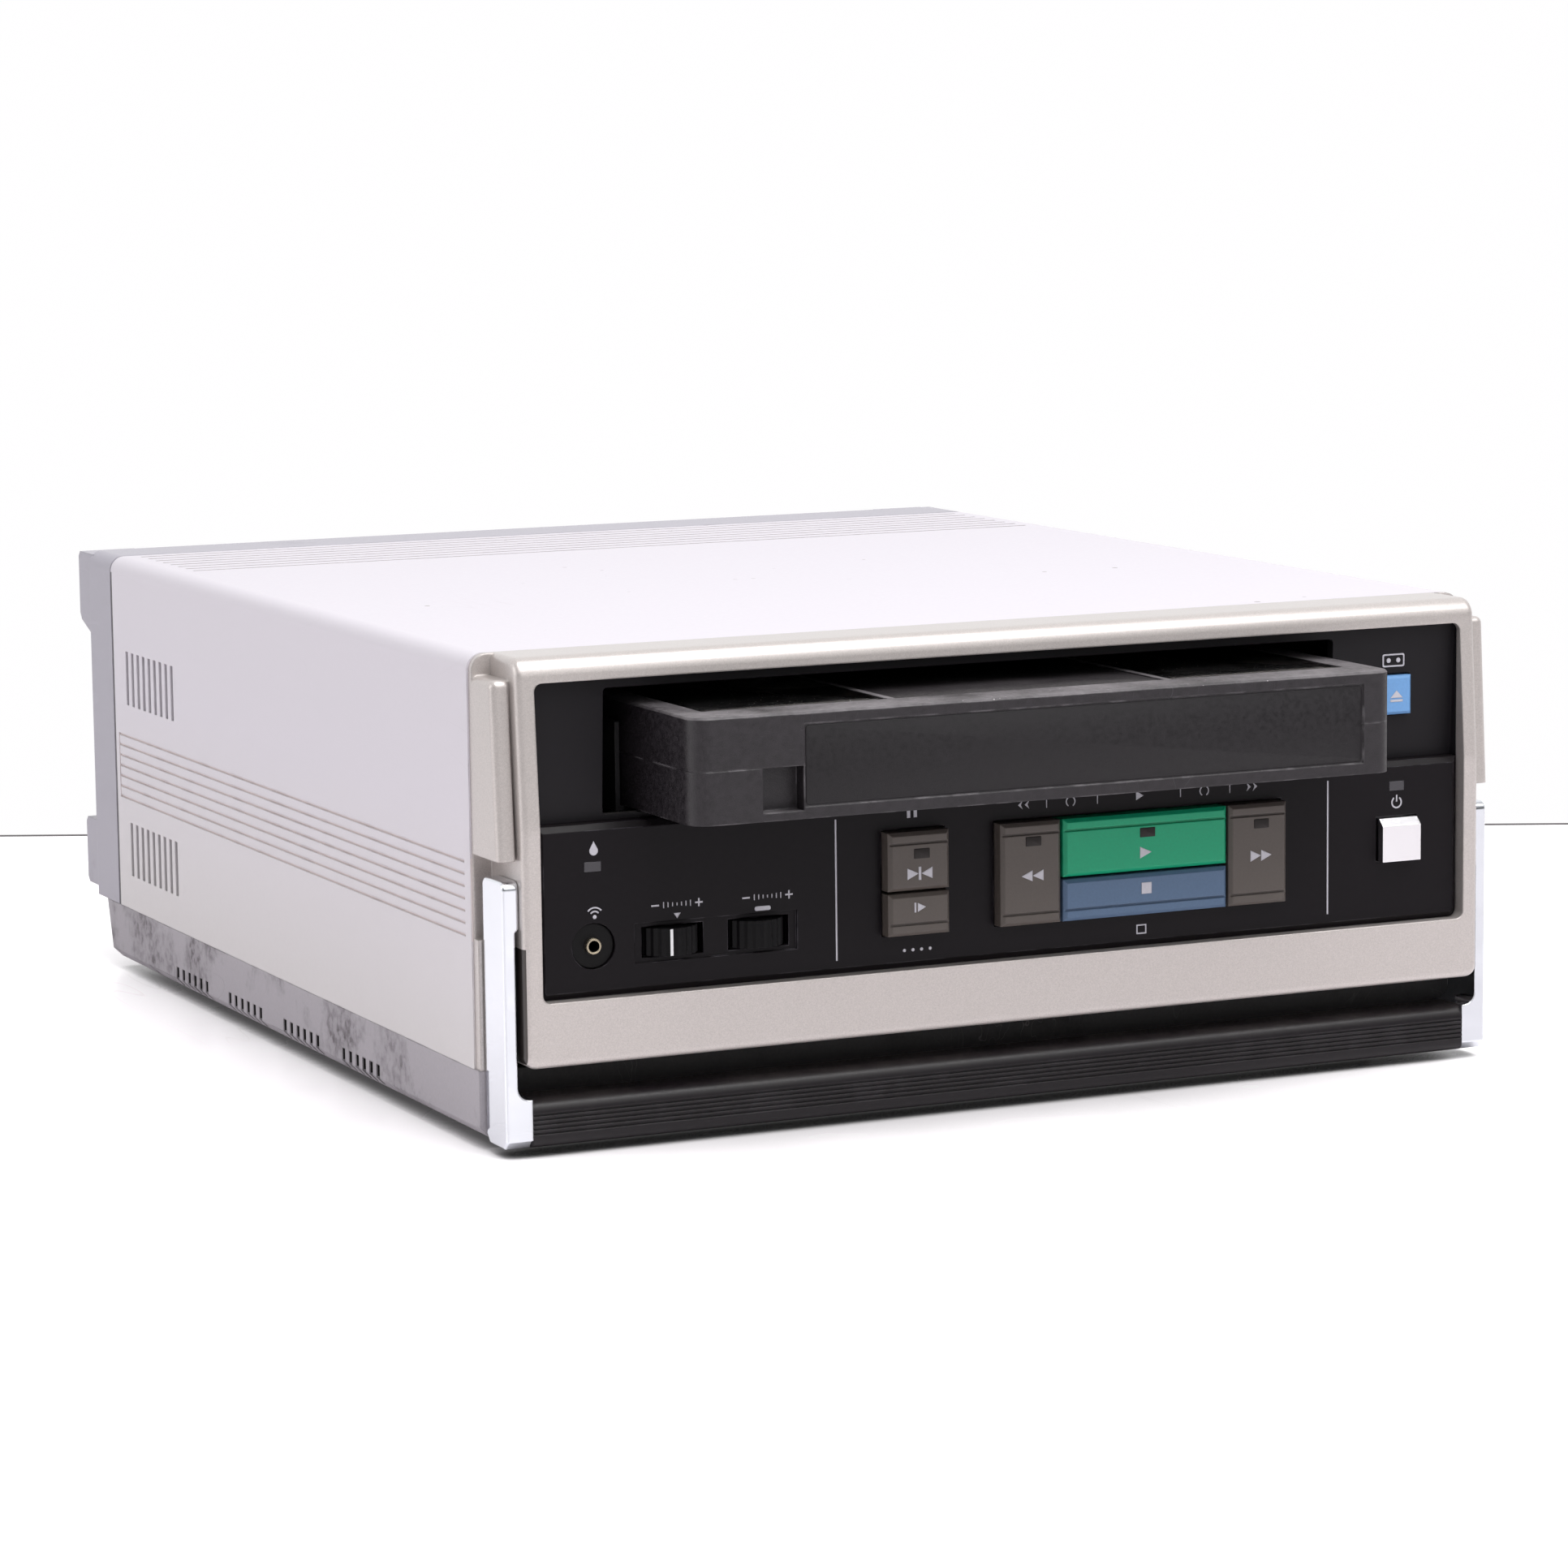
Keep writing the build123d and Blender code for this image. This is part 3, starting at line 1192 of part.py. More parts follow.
with BuildPart() as power_transformer:
    core_z = (foot_h + wall, foot_h + wall + core_h)
    stock((transformer_x - lamination_w / 2, transformer_x + lamination_w / 2),
          (transformer_d - core_d / 2, transformer_d + core_d / 2), core_z)
    with BuildSketch(across(transformer_d + coil_d / 2)):
        with Locations((transformer_x, sum(core_z) / 2)):
            Rectangle(coil_w, coil_h)
    extrude(amount=coil_d)
power_transformer.part.label = "power_transformer"
export_step(power_transformer.part, "parts/power_transformer.step")

# slot door, held up by the cassette
door_x = (slot_left + door_clear, slot_right - door_clear)
door_tip = (door_hinge[0] + door_len, cassette_top + door_rest_gap)
with BuildPart() as cassette_door:
    with BuildSketch(along(door_x[0])):
        with BuildLine():
            Polyline(door_hinge, door_tip, (door_tip[0], door_tip[1] + door_t),
                     (door_hinge[0], door_hinge[1] + door_t), close=True)
        make_face()
    extrude(amount=door_x[1] - door_x[0])
    for edge, side in zip(door_x, (-1, 1)):
        with BuildSketch(along(edge)):
            with Locations((door_hinge[0], door_hinge[1] + door_t / 2)):
                RegularPolygon(door_pin_r, guide_sides)
        extrude(amount=side * door_pin_len)
cassette_door.part.label = "cassette_door"
export_step(cassette_door.part, "parts/cassette_door.step")

with BuildPart() as door_hangers:
    for edge, side in ((door_x[0] - door_clear, -1), (door_x[1] + door_clear, 1)):
        with BuildSketch(along(edge)):
            with BuildLine():
                hanger_low = door_hinge[1] + door_t / 2 - 2 * door_t
                Polyline((upper_face(hanger_low) + upper_t, hanger_low),
                         (upper_face(bezel_inner_top) + upper_t, bezel_inner_top),
                         (door_hinge[0] + 2 * door_t, bezel_inner_top),
                         (door_hinge[0] + 2 * door_t, hanger_low), close=True)
            make_face()
            with Locations((door_hinge[0], door_hinge[1] + door_t / 2)):
                Circle(door_pin_r + running_fit, mode=Mode.SUBTRACT)
        extrude(amount=side * bracket_t)
door_hangers.part.label = "door_hangers"
export_step(door_hangers.part, "parts/door_hangers.step")

# video cassette
shell_back = cassette_back - flap_t
label_mid = cassette_x0 + label_from_left + label_w / 2
with BuildPart() as cassette_lower:
    with BuildSketch(level(cassette_z)):
        with Locations((cassette_mid, (shell_back - cassette_out) / 2)):
            Rectangle(cassette_w, shell_back + cassette_out)
        fillet(vertices().group_by(Axis.Y)[0], cassette_corner_r)
    extrude(amount=cassette_seam - cassette_z)
    stock((cassette_x0 + cassette_wall, cassette_x1 - cassette_wall),
          (cassette_wall + cassette_corner_r - cassette_out, shell_back - cassette_wall),
          (cassette_z + cassette_wall, cassette_seam), Mode.SUBTRACT)
    with BuildSketch(level(cassette_z)):
        with Locations([(x, reel_d) for x in spindle_places]):
            RegularPolygon(reel_hole_r, round_sides)
    extrude(amount=cassette_wall, mode=Mode.SUBTRACT)
    with BuildSketch(across(-cassette_out)):
        with Locations((label_mid, cassette_z + cassette_t / 2)):
            Rectangle(label_w, label_h)
    extrude(amount=-label_depth, mode=Mode.SUBTRACT)
    # well of the recording tab
    stock((cassette_x0 + tab_from_left, cassette_x0 + tab_from_left + tab_w),
          (-cassette_out, -cassette_out + tab_depth), (cassette_z + tab_low, cassette_seam), Mode.SUBTRACT)
cassette_lower.part.label = "cassette_lower_shell"
export_step(cassette_lower.part, "parts/cassette_lower_shell.step")

with BuildPart() as cassette_upper:
    with BuildSketch(level(cassette_seam)):
        with Locations((cassette_mid, (shell_back - cassette_out) / 2)):
            Rectangle(cassette_w, shell_back + cassette_out)
        fillet(vertices().group_by(Axis.Y)[0], cassette_corner_r)
    extrude(amount=cassette_top - cassette_seam)
    outer_edges = edges().group_by(Axis.Z)[-1]
    chamfer(outer_edges.filter_by(lambda e: e.center().Y < front_y + shell_back - 1), cassette_edge)
    stock((cassette_x0 + cassette_wall, cassette_x1 - cassette_wall),
          (cassette_wall + cassette_corner_r - cassette_out, shell_back - cassette_wall),
          (cassette_seam, cassette_top - cassette_wall), Mode.SUBTRACT)
    with BuildSketch(across(-cassette_out)):
        with Locations((label_mid, cassette_z + cassette_t / 2)):
            Rectangle(label_w, label_h)
    extrude(amount=-label_depth, mode=Mode.SUBTRACT)
    # recesses of the top label and of the two reel windows
    with BuildSketch(level(cassette_top)):
        with Locations((cassette_mid, window_from_spine - cassette_out + reel_window_l / 2)):
            Rectangle(top_label_w, reel_window_l)
            with GridLocations(top_label_w + reel_window_w + 2 * window_gap, 0, 2, 1):
                Rectangle(reel_window_w, reel_window_l)
    extrude(amount=-label_depth, mode=Mode.SUBTRACT)
cassette_upper.part.label = "cassette_upper_shell"
export_step(cassette_upper.part, "parts/cassette_upper_shell.step")

with BuildPart() as cassette_flap:
    stock((cassette_x0, cassette_x1), (shell_back, cassette_back), (cassette_z, cassette_top))
    chamfer(edges().filter_by(Axis.X).group_by(Axis.Y)[-1], flap_t / 3)
cassette_flap.part.label = "cassette_flap"
export_step(cassette_flap.part, "parts/cassette_flap.step")

reel_low = cassette_z + cassette_wall
reel_high = cassette_top - cassette_wall
for reel_x, reel_name in zip(spindle_places, ("supply_reel", "takeup_reel")):
    with BuildPart() as reel:
        with BuildSketch(level(reel_low)):
            with Locations((reel_x, reel_d)):
                RegularPolygon(reel_flange_r, round_sides)
        extrude(amount=flange_t)
        with BuildSketch(level(reel_low)):
            with Locations((reel_x, reel_d)):
                RegularPolygon(reel_hub_r, round_sides)
        extrude(amount=reel_high - reel_low)
        # six-sided socket for the reel table's spindle
        with BuildSketch(level(reel_low)):
            with Locations((reel_x, reel_d)):
                RegularPolygon(spindle_r + 2 * spline_r, 6)
        extrude(amount=reel_high - reel_low - cassette_wall, mode=Mode.SUBTRACT)
    reel.part.label = reel_name
    export_step(reel.part, f"parts/{reel_name}.step")

with BuildPart() as magnetic_tape:
    for reel_x, pack_r in zip(spindle_places, (full_pack_r, thin_pack_r)):
        with BuildSketch(level(reel_low + flange_t)):
            with Locations((reel_x, reel_d)):
                RegularPolygon(pack_r, round_sides)
                RegularPolygon(reel_hub_r + running_fit, round_sides, mode=Mode.SUBTRACT)
        extrude(amount=tape_w)
magnetic_tape.part.label = "magnetic_tape"
export_step(magnetic_tape.part, "parts/magnetic_tape.step")
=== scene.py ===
import bmesh
import bpy
import json
import math
import random
from mathutils import Matrix, Quaternion, Vector
from mathutils.geometry import tessellate_polygon


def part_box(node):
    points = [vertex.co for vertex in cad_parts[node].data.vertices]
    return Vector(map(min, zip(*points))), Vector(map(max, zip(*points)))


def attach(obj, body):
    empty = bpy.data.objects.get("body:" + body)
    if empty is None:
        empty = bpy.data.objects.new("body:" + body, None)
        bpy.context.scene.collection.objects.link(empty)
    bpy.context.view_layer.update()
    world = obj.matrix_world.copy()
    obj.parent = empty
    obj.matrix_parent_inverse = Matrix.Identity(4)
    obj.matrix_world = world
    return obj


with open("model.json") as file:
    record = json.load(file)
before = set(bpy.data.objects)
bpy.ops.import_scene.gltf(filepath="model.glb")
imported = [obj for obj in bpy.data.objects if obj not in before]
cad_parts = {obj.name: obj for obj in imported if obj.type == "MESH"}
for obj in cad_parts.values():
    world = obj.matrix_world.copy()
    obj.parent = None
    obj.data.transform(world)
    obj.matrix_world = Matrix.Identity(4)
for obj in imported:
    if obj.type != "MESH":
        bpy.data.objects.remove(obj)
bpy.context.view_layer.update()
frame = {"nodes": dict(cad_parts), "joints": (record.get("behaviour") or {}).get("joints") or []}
nodes = frame["nodes"]
mm = 0.001
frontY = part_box("front_bezel")[0].y    # front plane of the bezel; depths are measured back from it
upward, downward = Vector((0, 0, 1)), Vector((0, 0, -1))
forward, backward = Vector((0, -1, 0)), Vector((0, 1, 0))
print("frame loaded")


# colours and small shader tools
def tint(red, green, blue):
    # screen colour 0-255 to a linear colour
    return tuple(((c / 255 + 0.055) / 1.055) ** 2.4 if c > 10 else c / 3295
                 for c in (red, green, blue)) + (1.0,)


def shade(colour, factor):
    return tuple(min(1.0, c * factor) for c in colour[:3]) + (1.0,)


def wire(tree, value, socket):
    if isinstance(value, bpy.types.NodeSocket):
        tree.links.new(value, socket)
    else:
        socket.default_value = value


def put(tree, kind, settings=None, **wires):
    # one node, with its settings and with values or sockets for its inputs
    made = tree.nodes.new("ShaderNode" + kind)
    for key, value in (settings or {}).items():
        setattr(made, key, value)
    for key, value in wires.items():
        wire(tree, value, made.inputs[key.replace("_", " ")])
    return made


def calc(tree, operation, first, second=0.0, clamp=False):
    made = put(tree, "Math", {"operation": operation, "use_clamp": clamp})
    wire(tree, first, made.inputs[0])
    wire(tree, second, made.inputs[1])
    return made.outputs[0]


def times(tree, product, *factors):
    for factor in factors:
        product = calc(tree, "MULTIPLY", product, factor)
    return product


def vectorCalc(tree, operation, first, second):
    made = put(tree, "VectorMath", {"operation": operation})
    wire(tree, first, made.inputs[0])
    wire(tree, second, made.inputs[1])
    return made.outputs


def ramp(tree, value, low, high, start=0.0, end=1.0):
    # value from low..high to start..end, held at both ends
    return put(tree, "MapRange", {"clamp": True}, Value=value, From_Min=low, From_Max=high,
               To_Min=start, To_Max=end).outputs[0]


def mixed(tree, share, first, second, mode="MIX"):
    made = put(tree, "Mix", {"data_type": "RGBA", "blend_type": mode})
    for index, value in ((0, share), (6, first), (7, second)):
        wire(tree, value, made.inputs[index])
    return made.outputs[2]


def grey(tree, value):
    return put(tree, "CombineColor", Red=value, Green=value, Blue=value).outputs[0]


def objectSpot(tree):
    return put(tree, "TexCoord").outputs["Object"]


def axesOf(tree, vector=None):
    return put(tree, "SeparateXYZ", Vector=vector or objectSpot(tree)).outputs


def noise(tree, scale, detail, **more):
    where = objectSpot(tree)
    return put(tree, "TexNoise", Vector=where, Scale=scale, Detail=detail, **more).outputs[0]


def cellNoise(tree, scale):
    # distance to the middle of each cell, and the cell's own random numbers
    made = put(tree, "TexVoronoi", Vector=objectSpot(tree), Scale=scale).outputs
    return made["Distance"], put(tree, "SeparateColor", Color=made["Color"]).outputs


def newGroup(name, inputs, *outputs):
    tree = bpy.data.node_groups.new(name, "ShaderNodeTree")
    for label, value in inputs.items():
        socket = tree.interface.new_socket(name=label, in_out="INPUT",
                                           socket_type="NodeSocketFloat")
        socket.default_value = value
    for label in outputs:
        kind = "Vector" if label == "Normal" else "Float"
        tree.interface.new_socket(name=label, in_out="OUTPUT", socket_type="NodeSocket" + kind)
    return tree, tree.nodes.new("NodeGroupInput").outputs, tree.nodes.new("NodeGroupOutput").inputs


def use(tree, group, **values):
    made = put(tree, "Group", {"node_tree": group})
    for key, value in values.items():
        wire(tree, value, made.inputs[key])
    return made.outputs


# effects that several finishes share; pairs are where a value starts and ends
grainSet = {"finer": 5.0, "broadShare": 0.4, "fineShare": 0.6}


def makeFineGrain():
    tree, given, result = newGroup("fineGrain", {"Scale": 400.0}, "Tone", "Height")
    broad = noise(tree, given["Scale"], 3.0)
    fine = noise(tree, times(tree, given["Scale"], grainSet["finer"]), 2.0)
    wire(tree, broad, result["Tone"])
    wire(tree, calc(tree, "ADD", times(tree, broad, grainSet["broadShare"]),
                    times(tree, fine, grainSet["fineShare"])), result["Height"])
    return tree


edgeSet = {"samples": 6, "turn": (0.995, 0.86), "patch": (0.48, 0.62)}


def makeWornAndLitEdges():
    # edges found where a rounded normal leaves the flat one; they take wear, and on the control
    # panel a painted highlight
    tree, given, result = newGroup("wornAndLitEdges", {"Radius": 0.0004, "Amount": 0.5, "Patches": 120.0},
                                   "Mask", "Normal")
    rounded = put(tree, "Bevel", {"samples": edgeSet["samples"]}, Radius=given["Radius"]).outputs[0]
    flat = put(tree, "NewGeometry").outputs["Normal"]
    edge = ramp(tree, vectorCalc(tree, "DOT_PRODUCT", rounded, flat)["Value"], *edgeSet["turn"])
    wornAndLit = ramp(tree, noise(tree, given["Patches"], 4.0), *edgeSet["patch"])
    wire(tree, times(tree, edge, wornAndLit, given["Amount"]), result["Mask"])
    wire(tree, rounded, result["Normal"])
    return tree


scratchSet = {"stretch": (6.0, 1.0, 3.6), "bend": 0.6, "thin": 0.006, "patchScale": 0.7,
              "patch": (0.5, 0.66)}


def makeHairScratches():
    # thin lines where a stretched noise passes its middle, thinned out in patches
    tree, given, result = newGroup("hairScratches", {"Scale": 30.0, "Amount": 0.5}, "Mask")
    spread = vectorCalc(tree, "MULTIPLY", objectSpot(tree), scratchSet["stretch"])["Vector"]
    lines = put(tree, "TexNoise", Vector=spread, Scale=given["Scale"], Detail=1.0,
                Distortion=scratchSet["bend"]).outputs[0]
    away = calc(tree, "ABSOLUTE", calc(tree, "SUBTRACT", lines, 0.5))
    thin = ramp(tree, away, scratchSet["thin"], 0.0)
    patches = noise(tree, times(tree, given["Scale"], scratchSet["patchScale"]), 2.0)
    there = ramp(tree, patches, *scratchSet["patch"])
    wire(tree, times(tree, thin, there, given["Amount"]), result["Mask"])
    return tree


grimeSet = {"rough": 0.62, "gritScale": 14.0, "start": 0.78, "coverShare": 0.5, "soft": 0.16,
            "grit": (0.42, 0.6), "gritTone": (0.35, 1.0)}


def makeGrime():
    # soft dark patches with small specks in them
    tree, given, result = newGroup("grime", {"Scale": 20.0, "Amount": 0.5, "Cover": 0.4}, "Mask")
    broad = noise(tree, given["Scale"], 6.0, Roughness=grimeSet["rough"])
    grit = noise(tree, times(tree, given["Scale"], grimeSet["gritScale"]), 3.0)
    start = calc(tree, "SUBTRACT", grimeSet["start"],
                 times(tree, given["Cover"], grimeSet["coverShare"]))
    soft = ramp(tree, broad, start, calc(tree, "ADD", start, grimeSet["soft"]))
    grit = ramp(tree, grit, *grimeSet["grit"], *grimeSet["gritTone"])
    wire(tree, times(tree, soft, grit, given["Amount"]), result["Mask"])
    return tree


speckSet = {"size": (0.04, 0.17), "patchScale": 9.0, "patch": (0.42, 0.58)}


def makeSpecks():
    # a few small dots, strewn where a broad noise is high
    tree, given, result = newGroup("specks", {"Scale": 160.0, "Amount": 0.5, "Share": 0.1}, "Mask")
    away, chosen = cellNoise(tree, given["Scale"])
    dot = calc(tree, "LESS_THAN", away, ramp(tree, chosen[1], 0.0, 1.0, *speckSet["size"]))
    rare = calc(tree, "LESS_THAN", chosen[0], given["Share"])
    there = ramp(tree, noise(tree, speckSet["patchScale"], 2.0), *speckSet["patch"])
    wire(tree, times(tree, dot, rare, there, given["Amount"]), result["Mask"])
    return tree


dustSet = {"up": (0.2, 0.9), "rough": 0.7, "film": (0.35, 0.75), "moteScale": 14.0,
           "mote": (0.10, 0.05), "filmShare": 0.6, "moteShare": 1.6}


def makeDustAndTopLight():
    # settles on what faces up; on the cassette's top it is also painted light
    tree, given, result = newGroup("dustAndTopLight", {"Scale": 60.0, "Amount": 0.3}, "Mask")
    up = axesOf(tree, put(tree, "NewGeometry").outputs["Normal"])["Z"]
    film = ramp(tree, noise(tree, given["Scale"], 8.0, Roughness=dustSet["rough"]),
                *dustSet["film"])
    away = cellNoise(tree, times(tree, given["Scale"], dustSet["moteScale"]))[0]
    both = calc(tree, "MAXIMUM", times(tree, film, dustSet["filmShare"]),
                times(tree, ramp(tree, away, *dustSet["mote"]), dustSet["moteShare"]))
    wire(tree, times(tree, both, ramp(tree, up, *dustSet["up"]), given["Amount"]), result["Mask"])
    return tree


def makePaintFlakes():
    # small cells of metal in a silver paint
    tree, given, result = newGroup("paintFlakes", {"Scale": 5000.0}, "Tone")
    wire(tree, cellNoise(tree, given["Scale"])[1][0], result["Tone"])
    return tree


def makeHeightBand():
    # 1 between two heights
    tree, given, result = newGroup("heightBand", {"Low": 0.0, "High": 1.0}, "Mask")
    height = axesOf(tree)["Z"]
    wire(tree, times(tree, calc(tree, "GREATER_THAN", height, given["Low"]),
                     calc(tree, "LESS_THAN", height, given["High"])), result["Mask"])
    return tree


def makeInsideBox():
    # 1 inside a box that is the same on both sides of the middle
    tree, given, result = newGroup("insideBox", {"Inner": -1.0, "Outer": 1.0, "Front": -1.0,
                                                 "Back": 1.0, "Low": -1.0, "High": 1.0}, "Mask")
    where = axesOf(tree)
    mask = 1.0
    for value, low, high in ((calc(tree, "ABSOLUTE", where["X"]), "Inner", "Outer"),
                             (where["Y"], "Front", "Back"), (where["Z"], "Low", "High")):
        mask = times(tree, mask, calc(tree, "GREATER_THAN", value, given[low]),
                     calc(tree, "LESS_THAN", value, given[high]))
    wire(tree, mask, result["Mask"])
    return tree


effects = {"fineGrain": makeFineGrain(), "wornAndLitEdges": makeWornAndLitEdges(),
           "hairScratches": makeHairScratches(), "grime": makeGrime(), "specks": makeSpecks(),
           "dustAndTopLight": makeDustAndTopLight(), "paintFlakes": makePaintFlakes(), "heightBand": makeHeightBand(),
           "insideBox": makeInsideBox()}
print("effects built")


# finishes
# what any look leaves out
plainLook = {
    "tone": 0.06, "rough": 0.5, "roughSpread": 0.12, "metal": 0.0, "coat": 0.0, "specular": 0.5,
    "grain": 400.0, "bump": 0.15, "bumpDepth": 0.00005, "edge": 0.0003, "flakes": 0.0,
    "edgeWearAndLight": 0.15, "edgeWearAndLightColour": None, "edgePatches": 120.0,
    "scratch": 0.12, "scratchScale": 30.0, "scratchColour": None,
    "specks": 0.0, "speckScale": 160.0, "speckShare": 0.1, "speckColour": tint(96, 80, 74),
    "grime": 0.0, "grimeScale": 20.0, "grimeCover": 0.4, "grimeColour": tint(70, 66, 64),
    "dustAndTopLight": 0.0, "dustScale": 60.0, "dustAndTopLightColour": tint(176, 170, 162),
}
surfaceSet = {"grain": (0.3, 0.7), "coatRough": 0.12, "scratchLift": 1.7, "edgeWearAndLightLift": 1.6,
              "dustRough": 0.4, "grimeRough": 0.25, "scratchDepth": 1.5}


def makeFinish(name, look, *layers):
    # a finish from its look; each layer is a colour and the mask of where it takes over
    values = {**plainLook, **look}
    finish = bpy.data.materials.new(name)
    finish.use_nodes = True
    tree = finish.node_tree
    tree.nodes.clear()
    shader = put(tree, "BsdfPrincipled", Metallic=values["metal"], Coat_Weight=values["coat"],
                 Coat_Roughness=surfaceSet["coatRough"], Specular_IOR_Level=values["specular"])
    tree.links.new(shader.outputs[0], put(tree, "OutputMaterial").inputs[0])
    grain = use(tree, effects["fineGrain"], Scale=values["grain"])
    base = values["colour"]
    tone = ramp(tree, grain["Tone"], *surfaceSet["grain"])
    colour = mixed(tree, tone, shade(base, 1 - values["tone"]), shade(base, 1 + values["tone"]))
    if values["flakes"]:
        spark = use(tree, effects["paintFlakes"])["Tone"]
        lift = ramp(tree, spark, 0.0, 1.0, 1 - values["flakes"], 1 + values["flakes"])
        colour = mixed(tree, 1.0, colour, grey(tree, lift), "MULTIPLY")
    dirt = use(tree, effects["grime"], Scale=values["grimeScale"], Amount=values["grime"],
               Cover=values["grimeCover"])["Mask"]
    colour = mixed(tree, dirt, colour, values["grimeColour"])
    for layerColour, layerMask in layers:
        colour = mixed(tree, layerMask(tree), colour, layerColour)
    if values["specks"]:
        dots = use(tree, effects["specks"], Scale=values["speckScale"], Amount=values["specks"],
                   Share=values["speckShare"])
        colour = mixed(tree, dots["Mask"], colour, values["speckColour"])
    lines = use(tree, effects["hairScratches"], Scale=values["scratchScale"],
                Amount=values["scratch"])["Mask"]
    colour = mixed(tree, lines, colour,
                   values["scratchColour"] or shade(base, surfaceSet["scratchLift"]))
    wornAndLit = use(tree, effects["wornAndLitEdges"], Radius=values["edge"], Amount=values["edgeWearAndLight"],
               Patches=values["edgePatches"])
    colour = mixed(tree, wornAndLit["Mask"], colour,
                   values["edgeWearAndLightColour"] or shade(base, surfaceSet["edgeWearAndLightLift"]))
    film = use(tree, effects["dustAndTopLight"], Scale=values["dustScale"], Amount=values["dustAndTopLight"])["Mask"]
    colour = mixed(tree, film, colour, values["dustAndTopLightColour"])
    tree.links.new(colour, shader.inputs["Base Color"])
    spread = values["roughSpread"] / 2
    rough = ramp(tree, grain["Tone"], *surfaceSet["grain"], values["rough"] - spread,
                 values["rough"] + spread)
    rough = calc(tree, "ADD", rough, times(tree, film, surfaceSet["dustRough"]))
    rough = calc(tree, "ADD", rough, times(tree, dirt, surfaceSet["grimeRough"]), clamp=True)
    tree.links.new(rough, shader.inputs["Roughness"])
    height = calc(tree, "SUBTRACT", grain["Height"], times(tree, lines, surfaceSet["scratchDepth"]))
    bump = put(tree, "Bump", Strength=values["bump"], Distance=values["bumpDepth"], Height=height,
               Normal=wornAndLit["Normal"])
    tree.links.new(bump.outputs[0], shader.inputs["Normal"])
    return finish


def within(*boxes):
    # mask of one or more boxes, for a layer of a finish
    def mask(tree):
        joined = 0.0
        for limits in boxes:
            inside = use(tree, effects["insideBox"], **limits)["Mask"]
            joined = calc(tree, "MAXIMUM", joined, inside)
        return joined
    return mask


def dress(finish, *names):
    for name in names:
        for holder in nodes[name].material_slots:
            holder.link = "OBJECT"
            holder.material = finish


def paint(name, look, *names):
    finish = makeFinish(name, look)
    dress(finish, *names)
    return finish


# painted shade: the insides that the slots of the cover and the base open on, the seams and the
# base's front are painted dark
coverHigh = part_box("top_cover")[1]
baseLow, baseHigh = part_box("base_pan")
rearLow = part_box("rear_frame")[0]
paintedShadeColour = tint(20, 18, 19)          # what shows inside slots and seams

coverLook = {"colour": tint(214, 209, 217), "tone": 0.012, "rough": 0.40, "grain": 900.0,
             "specks": 0.7, "speckScale": 190.0, "speckShare": 0.08, "bump": 0.25,
             "bumpDepth": 0.00003, "edgeWearAndLight": 0.5, "edgeWearAndLightColour": tint(150, 143, 150),
             "edgePatches": 90.0, "scratch": 0.16, "scratchScale": 14.0,
             "scratchColour": tint(182, 172, 176), "grime": 0.30, "grimeScale": 11.0,
             "grimeCover": 0.26, "grimeColour": tint(184, 170, 166), "edge": 0.0005}
# deep and round bound the cover's outer skin, and painted shade lies inside it; seam is the width of
# a painted seam shadow along the rear edge of the sides
coverSkin = {"deep": 0.8 * mm, "round": 4.2 * mm, "seam": 0.7 * mm}     # outside finish
grooves = {"skin": 0.03 * mm, "topInset": 6 * mm, "topFront": 53 * mm, "topBack": 4 * mm,
           "sideLow": 49.5 * mm, "sideHigh": 69.2 * mm, "topColour": tint(150, 138, 140),
           "sideLightColour": tint(228, 218, 218)}
# painted shade: the cover turns darker and warmer towards the bottom, in place of the floor's warm
# bounce
lowBounceTint = {"colour": tint(208, 204, 202), "from": 80 * mm, "to": 15 * mm, "share": 0.8}
skinX, skinZ = coverHigh.x - coverSkin["deep"], coverHigh.z - coverSkin["deep"]
roundX, roundZ = coverHigh.x - coverSkin["round"], coverHigh.z - coverSkin["round"]
# painted shade inside the cover's skin, and a painted seam shadow on the sides at the rear edge
coverInsideShade = within({"Outer": skinX, "High": roundZ}, {"Outer": roundX, "High": skinZ},
                     {"Inner": skinX, "Front": coverHigh.y - coverSkin["seam"], "High": roundZ})
topGrooves = within({"Outer": coverHigh.x - grooves["topInset"], "Low": skinZ,
                     "Front": coverHigh.y - grooves["topFront"],
                     "Back": coverHigh.y - grooves["topBack"],
                     "High": coverHigh.z - grooves["skin"]})
# painted light: the side grooves are painted lighter than the cover to lift their shade
sideGrooveLight = within({"Inner": skinX, "Outer": coverHigh.x - grooves["skin"],
                      "Low": grooves["sideLow"], "High": grooves["sideHigh"]})


def lowBounceMask(tree):
    return ramp(tree, axesOf(tree)["Z"], lowBounceTint["from"], lowBounceTint["to"], 0.0, lowBounceTint["share"])


dress(makeFinish("coverPaint", coverLook, (lowBounceTint["colour"], lowBounceMask),
                 (paintedShadeColour, coverInsideShade), (grooves["topColour"], topGrooves),
                 (grooves["sideLightColour"], sideGrooveLight)), "top_cover")

bezelLook = {"colour": tint(194, 187, 184), "tone": 0.03, "metal": 0.5, "rough": 0.32,
             "coat": 0.3, "roughSpread": 0.05, "grain": 1800.0, "bump": 0.2,
             "bumpDepth": 0.00002, "flakes": 0.08, "edgeWearAndLight": 0.3, "edgePatches": 40.0,
             "edgeWearAndLightColour": tint(120, 112, 108), "scratch": 0.06, "edge": 0.0007}
# painted shade in the recess of the bezel beside each handle arm
bezelRecessShade = {"Inner": 129.2 * mm, "Outer": 133.0 * mm, "High": 50.0 * mm}
dress(makeFinish("bezelPaint", bezelLook, (tint(62, 56, 54), within(bezelRecessShade))),
      "front_bezel")

